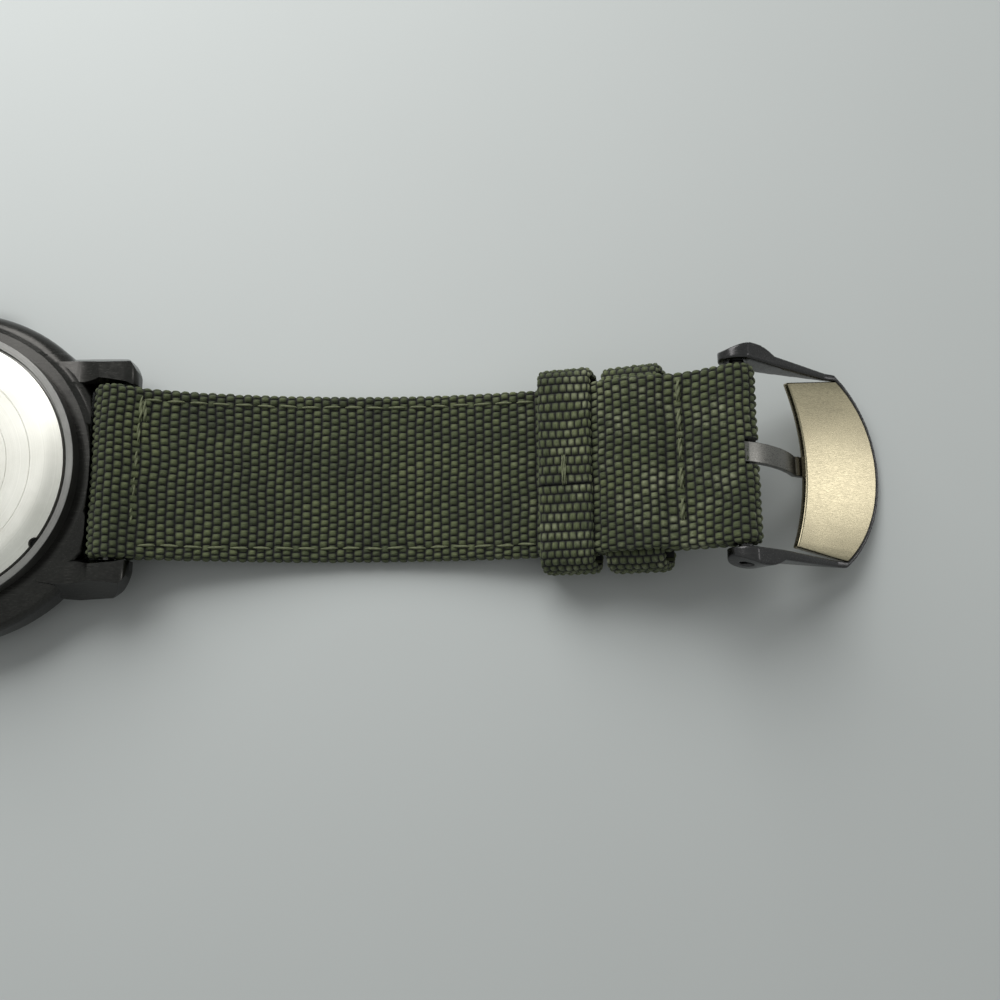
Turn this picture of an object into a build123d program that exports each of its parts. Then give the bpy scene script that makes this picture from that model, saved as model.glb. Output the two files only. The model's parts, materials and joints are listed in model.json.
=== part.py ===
from math import acos, asin, atan2, cos, degrees, pi, radians, sin, sqrt
import os

from build123d import *

os.makedirs("parts", exist_ok=True)

# A field watch lying on its crystal, case back up.
# The origin is the centre of the crystal's outer face, +X runs towards the
# buckle half of the strap and +Y towards the crown. Sizes are millimetres.

# Case, from the crystal up to the back
case_radius = 19.2
bezel_stand = 0.35
bezel_height = 2.0
case_height = 5.65
front_chamfer = 0.6
waist_height = 3.0
shoulder_radius = 17.55
shoulder_drop = 0.45
back_land_radius = 17.05
bore_radius = 14.7
skirt_radius = 16.4
skirt_depth = 0.85

# Lugs
lug_gap = 20.2
lug_wall = 4.2
lug_reach = 21.4
lug_root = 9.5
lug_face_length = 17.4
lug_tip_width = 1.1
lug_tip_low = 1.9
lug_tip_high = 3.2
lug_corner = 0.5
bar_reach = 18.9
bar_drop = 1.55
bar_hole_depth = 1.0

# Bezel, crystal and their seals
crystal_radius = 15.2
crystal_thickness = 1.6
crystal_chamfer = 0.25
seal_wall = 0.25
ledge_radius = 14.4
bezel_radius = 17.6
bezel_top_radius = 16.2
bezel_edge = 1.05
rehaut_foot = 1.15
hand_room = 1.9

# Dial and movement
dial_thickness = 0.4
dial_play = 0.2
dial_hole = 1.05
movement_radius = 12.9
plate_rim = 0.8
under_dial = 0.8
plate_thickness = 0.9
train_height = 1.45
bridge_thickness = 0.35
bridge_radius = 6.2
pillar_radius = 0.8
holder_height = 3.5
running_gap = 0.04
arbor_radius = 0.14

# Motion work: 12, 36, 10 and 40 teeth give the 12 to 1 of the hour hand
cannon_teeth = 12
minute_teeth = 36
minute_pinion_teeth = 10
hour_teeth = 40
wheel_distance = 3.0
wheel_thickness = 0.25
cannon_radius = 0.58
cannon_wall = 0.26
hour_tube_wall = 0.3
tooth_shares = ((-0.30, -1.2), (-0.12, 0.8), (0.12, 0.8), (0.30, -1.2))

# Seconds train
seconds_wheel_radius = 3.0
third_distance = 3.6
seconds_step = 7.5
third_step = 8.0
motor_step = 6.0
rotor_step = 5.0
third_angle = 128.0
intermediate_angle = -45.0
intermediate_radius = 2.0
magnet_radius = 0.75
magnet_height = 0.7
stator_thickness = 0.5

# Hands, each a lance from a round hub
hand_thickness = 0.15
hand_gap = 0.3
hour_hand_length = 8.2
minute_hand_length = 12.2
seconds_hand_length = 12.8
seconds_tail_length = 4.2
hour_hand_width = 1.5
minute_hand_width = 1.15
seconds_hand_width = 0.28
hand_widest_share = 0.62
hour_angle = 305.0
minute_angle = 60.0
seconds_angle = 210.0

# Battery and electrics
battery_radius = 4.75
battery_thickness = 2.05
battery_x = -2.7
battery_y = -7.6
clip_thickness = 0.15
clip_width = 2.4
coil_reach = 9.2
coil_length = 6.6
coil_radius = 1.15
core_thickness = 0.6
board_thickness = 0.35
can_radius = 0.75
can_length = 5.6
screw_radius = 0.5
screw_head = 0.8
screw_head_height = 0.3
screw_hold = 0.9

# Case back and its liner ring
liner_radius = 15.9
liner_stand = 1.8
liner_depth = 1.4
liner_step = 0.7
groove_width = 0.3
back_radius = 14.78
back_flat_radius = 12.9
back_rise = 0.38
back_plate = 1.15
back_skirt_radius = 14.2
back_skirt_wall = 0.9
back_skirt_depth = 1.2
gasket_height = 0.6
notch_width = 2.2
notch_depth = 0.35
notch_angle = 325.0

# Crown, tube and stem
crown_radius = 2.9
crown_length = 3.0
crown_grooves = 24
crown_groove_depth = 0.18
crown_stand = 0.35
tube_radius = 1.35
tube_wall = 0.4
tube_stand = 1.5
crown_wall = 0.6
stem_radius = 0.45
stem_end = 7.6
clutch_radius = 0.85
clutch_length = 1.6
clutch_groove_share = 0.25
crown_pull = 1.0

# Spring bars of the lugs
bar_radius = 0.9
bar_bore = 0.65
bar_lip = 0.5
bar_length = 19.6
pin_radius = 0.4
pin_reach = 0.8
collar_radius = 0.6
collar_length = 2.0
pin_travel = 0.85
spring_radius = 0.52
spring_wall = 0.2

# Strap, two woven layers sewn together
strap_width = 19.8
layer = 1.1
bend_radius = 86.0
tail_bend_radius = 105.0
tail_length = 115.0
tunnel_slack = 0.2
seam_run = 5.2
strap_gap = 0.25

# Buckle half: bar, flap and tongue slot
buckle_reach = 88.7
pivot_radius = 0.75
pivot_play = 0.1
flap_run = 17.7
sew_back = 4.1
slot_width = 2.9
slot_back = 1.6
slot_run = 3.0
lining_gap = 0.35

# Tail half: punched holes and tip
hole_radius = 1.0
hole_pitch = 7.0
hole_count = 7
first_hole = 24.0
tip_run = 8.5
tip_round_shares = (0.25, 0.31)

# Keepers
keeper_wall = 1.0
keeper_corner = 1.3
keeper_side_room = 1.0
floating_gap = 0.7
floating_width = 6.5
floating_room = 1.05
floating_slack = 0.15
fixed_back = 13.6
fixed_width = 6.9
fixed_room = 2.4
keeper_skin = 0.03
flap_ramp = 1.0

# Buckle frame, in the plane that it hangs in
table_gap = 0.05
buckle_length = 21.9
rim_radius = 13.8
rim_wall = 0.45
rim_slope_run = 1.5
arm_outside = 11.4
arm_wall = 1.15
arm_thin_wall = 0.7
eye_outside = 12.15
eye_front = 4.6
eye_back = 3.2
eye_radius = 2.0
arm_top = 1.1
arm_bottom = 1.9
rim_top = -1.15
bridge_front = 10.4
bridge_inner_radius = 23.5
bridge_end_gap = 0.75
bridge_top = 1.05
arm_round = 0.35
pivot_inset = 0.6

# Tongue of the buckle
tongue_width = 2.3
tongue_thickness = 0.75
tongue_ring = 1.35
tongue_length = 20.5
tongue_dip = 9.6
tongue_skin = 0.05

overrun = 1.0

# Levels, all counted up from the crystal's outer face
bezel_top = bezel_stand + bezel_height
case_back_face = bezel_top + case_height
dial_face = crystal_thickness + hand_room
dial_back = dial_face + dial_thickness
plate_face = dial_back + under_dial
plate_back = plate_face + plate_thickness
bridge_face = plate_back + train_height
bridge_back = bridge_face + bridge_thickness
liner_top = case_back_face + liner_stand
back_top = liner_top + back_rise
bar_height = case_back_face - bar_drop
stem_height = plate_face + plate_thickness / 2


def keep(piece, name):
    """Label a finished piece and write it."""
    piece.part.label = name
    export_step(piece.part, f"parts/{name}.step")


def ring(profile):
    """Turn a closed profile of (radius, height) points about the case's axis."""
    with BuildPart() as turned:
        with BuildSketch(Plane.XZ):
            with BuildLine():
                Polyline(*profile, close=True)
            make_face()
        revolve(axis=Axis.Z)
    return turned


def washer(inner, outer, low, high):
    """A plain ring between two radii and two heights."""
    return ring([(inner, low), (outer, low), (outer, high), (inner, high)])


def along(distance, angle):
    """The point at a distance from the case's axis, at an angle in the dial's plane."""
    return (distance * cos(radians(angle)), distance * sin(radians(angle)))


# Bezel, with the skirt that is pressed into the case
bezel = ring([
    (ledge_radius, crystal_thickness),
    (crystal_radius + seal_wall, crystal_thickness),
    (crystal_radius + seal_wall, bezel_stand),
    (bezel_top_radius, bezel_stand),
    (bezel_radius, bezel_stand + bezel_edge),
    (bezel_radius, bezel_top),
    (skirt_radius, bezel_top),
    (skirt_radius, bezel_top + skirt_depth),
    (ledge_radius, bezel_top + skirt_depth),
])
keep(bezel, "bezel")

# Crystal, a flat mineral glass with a bevelled rim
with BuildPart() as crystal:
    with BuildSketch(Plane.XY):
        Circle(crystal_radius)
    extrude(amount=crystal_thickness)
    chamfer(crystal.edges().sort_by(Axis.Z)[0], length=crystal_chamfer)
keep(crystal, "crystal")

crystal_gasket = washer(crystal_radius, crystal_radius + seal_wall, crystal_chamfer + bezel_stand,
                        crystal_thickness)
keep(crystal_gasket, "crystal_gasket")

# Sloped ring between the crystal and the dial
rehaut = ring([
    (ledge_radius - running_gap, crystal_thickness + running_gap),
    (ledge_radius - running_gap, dial_face),
    (ledge_radius - rehaut_foot, dial_face),
])
keep(rehaut, "dial_ring")

# Dial, held in the bore on the movement's rim
dial = washer(dial_hole, bore_radius - dial_play, dial_face, dial_back)
keep(dial, "dial")

# Lug: a plan outline cut to its side view
lug_inside = lug_gap / 2
lug_outside = lug_inside + lug_wall
lug_low = bezel_top + front_chamfer
with BuildPart() as lug:
    with BuildSketch(Plane.XY.offset(bezel_top)):
        with BuildLine():
            Polyline(
                (lug_reach, lug_inside + lug_tip_width),
                (lug_reach, lug_inside),
                (lug_root, lug_inside),
                (lug_root, lug_outside - lug_tip_width),
                (bar_reach - lug_wall - lug_tip_width, lug_outside - lug_corner / 2),
                (bar_reach - lug_wall / 2, lug_outside),
                (bar_reach - lug_tip_width / 2, lug_outside),
            )
            ThreePointArc(
                (bar_reach - lug_tip_width / 2, lug_outside),
                (lug_reach - lug_tip_width, lug_outside - lug_tip_width),
                (lug_reach, lug_inside + lug_tip_width),
            )
        make_face()
    extrude(amount=case_height)
    with BuildSketch(Plane.XZ):
        with BuildLine():
            Polyline(
                (lug_reach, lug_low + lug_tip_high - lug_corner),
                (lug_reach, lug_low + lug_tip_low),
                (lug_reach - lug_tip_width, lug_low + lug_tip_width),
                (lug_root, lug_low),
                (lug_root, case_back_face),
                (lug_face_length, case_back_face),
                (bar_reach + lug_tip_width, case_back_face - lug_corner),
            )
            TangentArc(
                (bar_reach + lug_tip_width, case_back_face - lug_corner),
                (lug_reach, lug_low + lug_tip_high - lug_corner),
                tangent=(bar_reach + lug_tip_width - lug_face_length, -lug_corner),
            )
        make_face()
    extrude(amount=-lug_outside - overrun, mode=Mode.INTERSECT)

# Case middle, with the hollows that the strap ends turn in
case_profile_start = (case_radius, bezel_top + waist_height)
with BuildPart() as case_middle:
    with BuildSketch(Plane.XZ):
        with BuildLine():
            Polyline(
                (shoulder_radius, case_back_face - shoulder_drop),
                (back_land_radius, case_back_face),
                (bore_radius, case_back_face),
                (bore_radius, bezel_top),
                (case_radius - front_chamfer, bezel_top),
                (case_radius, bezel_top + front_chamfer),
                case_profile_start,
            )
            TangentArc(
                case_profile_start,
                (shoulder_radius, case_back_face - shoulder_drop),
                tangent=(0, 1),
            )
        make_face()
    revolve(axis=Axis.Z)
    add(lug.part)
    mirror(lug.part, about=Plane.XZ)
    mirror(lug.part, about=Plane.YZ)
    mirror(mirror(lug.part, about=Plane.XZ, mode=Mode.PRIVATE), about=Plane.YZ)
    with BuildSketch(Plane.XY.offset(bezel_top)):
        Circle(bore_radius)
    extrude(amount=case_height, mode=Mode.SUBTRACT)
    with BuildSketch(Plane.XY.offset(bezel_top)):
        Circle(skirt_radius)
    extrude(amount=skirt_depth, mode=Mode.SUBTRACT)
    with BuildSketch(Plane.XY.offset(case_back_face)):
        Circle(liner_radius)
    extrude(amount=-liner_depth, mode=Mode.SUBTRACT)
    strap_hollow = layer + bar_radius + tunnel_slack + strap_gap
    for side in (1, -1):
        with BuildSketch(Plane.XZ):
            with Locations((side * bar_reach, bar_height)):
                Circle(strap_hollow)
            with Locations((side * (bar_reach + strap_hollow / 2), bar_height)):
                Rectangle(strap_hollow, 2 * strap_hollow)
            with Locations((side * bar_reach, bar_height - strap_hollow)):
                Rectangle(2 * bar_radius, 2 * strap_hollow)
        extrude(amount=lug_inside, both=True, mode=Mode.SUBTRACT)
        with BuildSketch(Plane.XZ):
            with Locations((side * bar_reach, bar_height)):
                Circle(pin_radius + running_gap)
        extrude(amount=lug_inside + bar_hole_depth, both=True, mode=Mode.SUBTRACT)
    with BuildSketch(Plane.XZ):
        with Locations((0, stem_height)):
            Circle(tube_radius)
    extrude(amount=-case_radius - overrun, mode=Mode.SUBTRACT)
keep(case_middle, "case_middle")

# Steel liner that stands out round the back
liner_floor = case_back_face - liner_depth
liner = ring([
    (bore_radius, liner_floor),
    (liner_radius, liner_floor),
    (liner_radius, liner_top),
    (back_radius + groove_width, liner_top),
    (back_radius + groove_width, liner_top - liner_step),
    (bore_radius, liner_top - liner_step),
])
keep(liner, "case_liner")

# Press-fit back: plate, sloped edge and skirt, with a notch to prise it off
with BuildPart() as case_back:
    with BuildSketch(Plane.XZ):
        with BuildLine():
            Polyline(
                (0, back_top),
                (back_flat_radius, back_top),
                (back_radius, liner_top),
                (back_radius, liner_top - liner_step),
                (back_skirt_radius, liner_top - liner_step),
                (back_skirt_radius, liner_top - liner_step - back_skirt_depth),
                (back_skirt_radius - back_skirt_wall, liner_top - liner_step - back_skirt_depth),
                (back_skirt_radius - back_skirt_wall, back_top - back_plate),
                (0, back_top - back_plate),
                close=True,
            )
        make_face()
    revolve(axis=Axis.Z)
    with BuildSketch(Plane.XY.offset(liner_top - notch_depth)):
        with Locations(along(back_radius, notch_angle)):
            Circle(notch_width / 2)
    extrude(amount=notch_depth + back_rise, mode=Mode.SUBTRACT)
keep(case_back, "case_back")

back_gasket = washer(back_skirt_radius, bore_radius, liner_top - liner_step - gasket_height,
                     liner_top - liner_step)
keep(back_gasket, "case_back_gasket")

# Holder ring between the movement and the case
with BuildPart() as movement_holder:
    with BuildSketch(Plane.XY.offset(dial_back)):
        Circle(bore_radius - running_gap)
        Circle(movement_radius, mode=Mode.SUBTRACT)
    extrude(amount=holder_height)
    with BuildSketch(Plane.XZ):
        with Locations((0, stem_height)):
            Circle(tube_radius)
    extrude(amount=-bore_radius - overrun, mode=Mode.SUBTRACT)
keep(movement_holder, "movement_holder")

# Places of the train's arbors, seen from the back
third_place = along(third_distance, third_angle)
intermediate_pinion = seconds_wheel_radius / motor_step
rotor_pinion = intermediate_radius / rotor_step
intermediate_distance = seconds_wheel_radius + intermediate_pinion + running_gap
intermediate_place = along(intermediate_distance, intermediate_angle)
rotor_distance = intermediate_distance + intermediate_radius + rotor_pinion + running_gap
rotor_place = along(rotor_distance, intermediate_angle)
minute_wheel_place = along(wheel_distance, 0)
pillar_places = [along(bridge_radius - pillar_radius, angle) for angle in (0, 70, 190)]
fast_arbors = [third_place, intermediate_place, rotor_place]

# Main plate: disc, rim for the dial, and the bearings of the train
with BuildPart() as main_plate:
    with BuildSketch(Plane.XY.offset(dial_back)):
        Circle(movement_radius - running_gap)
        Circle(movement_radius - plate_rim, mode=Mode.SUBTRACT)
    extrude(amount=under_dial)
    with BuildSketch(Plane.XY.offset(plate_face)):
        Circle(movement_radius - running_gap)
        Circle(cannon_radius + running_gap, mode=Mode.SUBTRACT)
        with Locations(*fast_arbors):
            Circle(arbor_radius + running_gap, mode=Mode.SUBTRACT)
    extrude(amount=plate_thickness)
    with BuildSketch(Plane.XY.offset(dial_back + running_gap)):
        with Locations(minute_wheel_place):
            Circle(arbor_radius + running_gap)
    extrude(amount=under_dial)
    with BuildSketch(Plane.XY.offset(plate_back)):
        with Locations(*pillar_places):
            Circle(pillar_radius)
    extrude(amount=train_height)
    with BuildSketch(Plane.XY.offset(bridge_face)):
        with Locations(*pillar_places):
            Circle(screw_radius + running_gap)
    extrude(amount=-screw_hold, mode=Mode.SUBTRACT)
    with BuildSketch(Plane.XZ.offset(-stem_end + 2 * running_gap)):
        with Locations((0, stem_height)):
            Rectangle(2 * (clutch_radius + 2 * running_gap), 2 * (clutch_radius + 2 * running_gap))
    extrude(amount=-movement_radius - overrun, mode=Mode.SUBTRACT)
keep(main_plate, "main_plate")

# Bridge over the train
with BuildPart() as train_bridge:
    with BuildSketch(Plane.XY.offset(bridge_face)):
        Circle(bridge_radius)
        with Locations((battery_x, battery_y)):
            Circle(battery_radius + 2 * running_gap, mode=Mode.SUBTRACT)
        with Locations((0, 0), *fast_arbors):
            Circle(arbor_radius + running_gap, mode=Mode.SUBTRACT)
        with Locations(*pillar_places):
            Circle(screw_radius + running_gap, mode=Mode.SUBTRACT)
    extrude(amount=bridge_thickness)
keep(train_bridge, "train_bridge")


def tooth_points(centre, teeth, module, turn):
    """Points round the rim of a wheel with simple flat-topped teeth."""
    pitch = teeth * module / 2
    step = 2 * pi / teeth
    points = []
    for tooth in range(teeth):
        middle = tooth * step + turn
        for tooth_share, height_share in tooth_shares:
            radius = pitch + height_share * module
            angle = middle + tooth_share * step
            points.append((centre[0] + radius * cos(angle), centre[1] + radius * sin(angle)))
    return points


cannon_module = 2 * wheel_distance / (cannon_teeth + minute_teeth)
hour_module = 2 * wheel_distance / (minute_pinion_teeth + hour_teeth)
low_wheels = plate_face - running_gap - wheel_thickness
high_wheels = dial_back + 2 * running_gap

# Levels of the hands, each a gap above the next
hour_hand_face = dial_face - hand_gap - hand_thickness
minute_hand_face = hour_hand_face - hand_gap - hand_thickness
seconds_hand_face = minute_hand_face - hand_gap - hand_thickness

# Steps of the slow train: 8 from the centre wheel, 7.5 from the third wheel
centre_wheel_radius = third_distance * third_step / (1 + third_step) - running_gap / 2
third_pinion = third_distance / (1 + third_step) - running_gap / 2
third_wheel_radius = third_distance * seconds_step / (1 + seconds_step) - running_gap / 2
seconds_pinion = third_distance / (1 + seconds_step) - running_gap / 2

# Centre wheel and cannon pinion, which carry the minute hand
centre_level = plate_back + 2 * running_gap
with BuildPart() as centre_wheel:
    with BuildSketch(Plane.XY.offset(minute_hand_face)):
        Circle(cannon_radius)
    extrude(amount=centre_level + wheel_thickness - minute_hand_face)
    with BuildSketch(Plane.XY.offset(low_wheels)):
        with BuildLine():
            Polyline(*tooth_points((0, 0), cannon_teeth, cannon_module, 0), close=True)
        make_face()
    extrude(amount=wheel_thickness)
    with BuildSketch(Plane.XY.offset(centre_level)):
        Circle(centre_wheel_radius)
    extrude(amount=wheel_thickness)
    with BuildSketch(Plane.XY.offset(minute_hand_face)):
        Circle(cannon_radius - cannon_wall)
    extrude(amount=bridge_face, mode=Mode.SUBTRACT)
keep(centre_wheel, "centre_wheel")

# Minute wheel with its pinion, turning on a post of the main plate
with BuildPart() as minute_wheel:
    with BuildSketch(Plane.XY.offset(low_wheels)):
        with BuildLine():
            Polyline(*tooth_points(minute_wheel_place, minute_teeth, cannon_module,
                                   pi + pi / minute_teeth), close=True)
        make_face()
    extrude(amount=wheel_thickness)
    with BuildSketch(Plane.XY.offset(high_wheels)):
        with BuildLine():
            Polyline(*tooth_points(minute_wheel_place, minute_pinion_teeth, hour_module, pi),
                     close=True)
        make_face()
    extrude(amount=low_wheels - high_wheels)
    with BuildSketch(Plane.XY.offset(high_wheels)):
        with Locations(minute_wheel_place):
            Circle(arbor_radius + 2 * running_gap)
    extrude(amount=under_dial, mode=Mode.SUBTRACT)
keep(minute_wheel, "minute_wheel")

# Hour wheel, whose tube carries the hour hand
hour_bore = cannon_radius + running_gap
with BuildPart() as hour_wheel:
    with BuildSketch(Plane.XY.offset(hour_hand_face)):
        Circle(hour_bore + hour_tube_wall)
    extrude(amount=high_wheels + wheel_thickness - hour_hand_face)
    with BuildSketch(Plane.XY.offset(high_wheels)):
        with BuildLine():
            Polyline(*tooth_points((0, 0), hour_teeth, hour_module, pi / hour_teeth), close=True)
        make_face()
    extrude(amount=wheel_thickness)
    with BuildSketch(Plane.XY.offset(hour_hand_face)):
        Circle(hour_bore)
    extrude(amount=bridge_face, mode=Mode.SUBTRACT)
keep(hour_wheel, "hour_wheel")


def arbor_wheel(place, discs, foot, top, pivot):
    """Discs of (radius, low, thickness) on one thin arbor that ends in pivots."""
    with BuildPart() as wheel:
        with BuildSketch(Plane.XY.offset(foot)):
            with Locations(place):
                Circle(pivot)
        extrude(amount=top - foot)
        for radius, low, thickness in discs:
            with BuildSketch(Plane.XY.offset(low)):
                with Locations(place):
                    Circle(radius)
            extrude(amount=thickness)
    return wheel


seconds_level = centre_level + wheel_thickness + 2 * running_gap
third_level = seconds_level + wheel_thickness / 2 + running_gap
fast_level = third_level + wheel_thickness / 2 + 2 * running_gap
pivot_foot = plate_back - plate_thickness / 2
seconds_wheel = arbor_wheel(
    (0, 0),
    [(seconds_wheel_radius, seconds_level, wheel_thickness / 2),
     (seconds_pinion, third_level, wheel_thickness / 2)],
    seconds_hand_face, bridge_back, arbor_radius,
)
keep(seconds_wheel, "seconds_wheel")
third_wheel = arbor_wheel(
    third_place,
    [(third_wheel_radius, third_level, wheel_thickness / 2),
     (third_pinion, centre_level, wheel_thickness)],
    pivot_foot, bridge_back, arbor_radius,
)
keep(third_wheel, "third_wheel")
intermediate_wheel = arbor_wheel(
    intermediate_place,
    [(intermediate_radius, fast_level, wheel_thickness / 2),
     (intermediate_pinion, seconds_level, wheel_thickness / 2)],
    pivot_foot, bridge_back, arbor_radius,
)
keep(intermediate_wheel, "intermediate_wheel")
rotor = arbor_wheel(
    rotor_place,
    [(magnet_radius, plate_back + running_gap, magnet_height),
     (rotor_pinion, fast_level, wheel_thickness / 2)],
    pivot_foot, bridge_face, arbor_radius,
)
keep(rotor, "rotor")

# Stator: a flat loop of soft iron round the magnet, closed by the coil's core
stator_arm = 2 * magnet_radius + 3 * running_gap + core_thickness
stator_low = rotor_place[1] - stator_arm / 2
stator_near = rotor_place[0] - stator_arm / 2
coil_top = coil_length / 2 + stator_arm / 4
stator_waist = coil_reach - coil_radius - stator_arm / 2
with BuildPart() as stator:
    with BuildSketch(Plane.XY.offset(plate_back)):
        with BuildLine():
            Polyline(
                (stator_near, stator_low),
                (coil_reach + core_thickness, stator_low),
                (coil_reach + core_thickness, stator_low + stator_arm),
                (stator_waist + core_thickness, stator_low + stator_arm),
                (stator_waist + core_thickness, coil_top),
                (coil_reach + core_thickness, coil_top),
                (coil_reach + core_thickness, coil_top + stator_arm / 2),
                (stator_waist, coil_top + stator_arm / 2),
                (stator_waist, stator_low + stator_arm),
                (stator_near, stator_low + stator_arm),
                close=True,
            )
        make_face()
        with Locations(rotor_place):
            Circle(magnet_radius + 3 * running_gap, mode=Mode.SUBTRACT)
    extrude(amount=stator_thickness)
keep(stator, "stator")

# Coil: iron core across the stator's ends, and the winding round it
core_low = plate_back + stator_thickness
core_start = stator_low + stator_arm / 2
core_end = coil_top + stator_arm / 2
with BuildPart() as coil_core:
    with BuildSketch(Plane.XY.offset(core_low)):
        with Locations((coil_reach, (core_start + core_end) / 2)):
            Rectangle(core_thickness, core_end - core_start)
    extrude(amount=core_thickness)
keep(coil_core, "coil_core")
coil_height = core_low + core_thickness / 2
with BuildPart() as coil_winding:
    with BuildSketch(Plane.XZ.offset(-coil_top + running_gap + coil_length)):
        with Locations((coil_reach, coil_height)):
            Circle(coil_height - plate_back - running_gap)
            Rectangle(core_thickness, core_thickness, mode=Mode.SUBTRACT)
    extrude(amount=-coil_length)
keep(coil_winding, "coil_winding")

# Circuit board with the quartz can beside it
board_reach = movement_radius - plate_rim
with BuildPart() as circuit_board:
    with BuildSketch(Plane.XY.offset(plate_back)):
        Circle(board_reach)
        Circle(bridge_radius + 2 * can_radius, mode=Mode.SUBTRACT)
        with Locations((board_reach / 2, 0)):
            Rectangle(2 * board_reach, 2 * board_reach, mode=Mode.SUBTRACT)
        with Locations((0, -board_reach)):
            Rectangle(2 * board_reach, 2 * board_reach, mode=Mode.SUBTRACT)
    extrude(amount=board_thickness)
keep(circuit_board, "circuit_board")
can_low = plate_back + board_thickness
with BuildPart() as quartz_can:
    with BuildSketch(Plane.XZ.offset(-can_radius)):
        with Locations((-board_reach + 2 * can_radius, can_low + can_radius)):
            Circle(can_radius)
    extrude(amount=-can_length)
keep(quartz_can, "quartz_can")

with BuildPart() as battery:
    with BuildSketch(Plane.XY.offset(plate_back)):
        with Locations((battery_x, battery_y)):
            Circle(battery_radius)
    extrude(amount=battery_thickness)
    chamfer(battery.edges().group_by(Axis.Z)[-1], length=crystal_chamfer)
keep(battery, "battery")

# Clip that holds the battery down and carries its current
clip_level = plate_back + battery_thickness
clip_foot = battery_x + battery_radius + screw_head + running_gap
with BuildPart() as battery_clip:
    with BuildSketch(Plane.XY.offset(clip_level)):
        with Locations(((battery_x + clip_foot) / 2, battery_y)):
            SlotOverall(clip_foot - battery_x + clip_width, clip_width)
        with Locations((clip_foot, battery_y)):
            Circle(screw_radius + running_gap, mode=Mode.SUBTRACT)
    extrude(amount=clip_thickness)
    with BuildSketch(Plane.XY.offset(plate_back)):
        with Locations((clip_foot, battery_y)):
            Circle(screw_head)
            Circle(screw_radius + running_gap, mode=Mode.SUBTRACT)
    extrude(amount=battery_thickness)
keep(battery_clip, "battery_clip")

# Screws of the movement, one in each pillar and one in the clip's post
screw_seats = [(place, bridge_back, bridge_thickness + screw_hold) for place in pillar_places]
screw_seats.append(((clip_foot, battery_y), clip_level + clip_thickness,
                    clip_thickness + battery_thickness))
with BuildPart() as movement_screws:
    for place, level, depth in screw_seats:
        with BuildSketch(Plane.XY.offset(level)):
            with Locations(place):
                Circle(screw_head)
        extrude(amount=screw_head_height)
        with BuildSketch(Plane.XY.offset(level)):
            with Locations(place):
                Circle(screw_radius)
        extrude(amount=-depth)
keep(movement_screws, "movement_screws")


def hand(length, tail, width, hub, bore, level, angle):
    """A lance-shaped hand turned to its hour, with a hub pressed on its tube."""
    with BuildPart() as pointer:
        with BuildSketch(Plane.XY.offset(level).rotated((0, 0, angle))):
            with BuildLine():
                Polyline(
                    (-tail, width / 2),
                    (length * hand_widest_share, width / 2 + hand_thickness),
                    (length, 0),
                    (length * hand_widest_share, -width / 2 - hand_thickness),
                    (-tail, -width / 2),
                    close=True,
                )
            make_face()
            Circle(hub)
            Circle(bore, mode=Mode.SUBTRACT)
        extrude(amount=hand_thickness)
    return pointer


hour_hand = hand(hour_hand_length, 0, hour_hand_width, hour_hand_width,
                 hour_bore + hour_tube_wall, hour_hand_face, hour_angle)
keep(hour_hand, "hour_hand")
minute_hand = hand(minute_hand_length, 0, minute_hand_width, minute_hand_width,
                   cannon_radius, minute_hand_face, minute_angle)
keep(minute_hand, "minute_hand")
seconds_hand = hand(seconds_hand_length, seconds_tail_length, seconds_hand_width,
                    cannon_radius, arbor_radius, seconds_hand_face, seconds_angle)
keep(seconds_hand, "seconds_hand")


def crosswise(distance):
    """A plane square to the crown's axis, at a distance out from the case's axis."""
    return Plane(origin=(0, distance, stem_height), x_dir=(1, 0, 0), z_dir=(0, 1, 0))


# Crown tube pressed into the case wall
tube_inside = bore_radius + seal_wall
tube_outside = case_radius + tube_stand
with BuildPart() as crown_tube:
    with BuildSketch(crosswise(tube_inside)):
        Circle(tube_radius)
        Circle(tube_radius - tube_wall, mode=Mode.SUBTRACT)
    extrude(amount=tube_outside - tube_inside)
keep(crown_tube, "crown_tube")

# Crown: a grooved cap, hollow where it runs over the tube
crown_start = case_radius + crown_stand
groove_step = 360 / crown_grooves
with BuildPart() as crown:
    with BuildSketch(crosswise(crown_start)):
        Circle(crown_radius)
        with PolarLocations(crown_radius, crown_grooves):
            Rectangle(2 * crown_groove_depth, crown_radius * radians(groove_step) / 2, mode=Mode.SUBTRACT)
    extrude(amount=crown_length)
    with BuildSketch(crosswise(crown_start + crown_length)):
        Circle(crown_radius - crown_wall)
    extrude(amount=crown_groove_depth)
    with BuildSketch(crosswise(crown_start)):
        Circle(tube_radius + seal_wall)
    extrude(amount=crown_length - crown_wall, mode=Mode.SUBTRACT)
keep(crown, "crown")

# Seal between the crown's hollow and the tube's mouth
with BuildPart() as crown_gasket:
    with BuildSketch(crosswise(tube_outside - tube_wall)):
        Circle(tube_radius + seal_wall)
        Circle(tube_radius + running_gap, mode=Mode.SUBTRACT)
    extrude(amount=-seal_wall * 2)
keep(crown_gasket, "crown_gasket")

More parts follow.
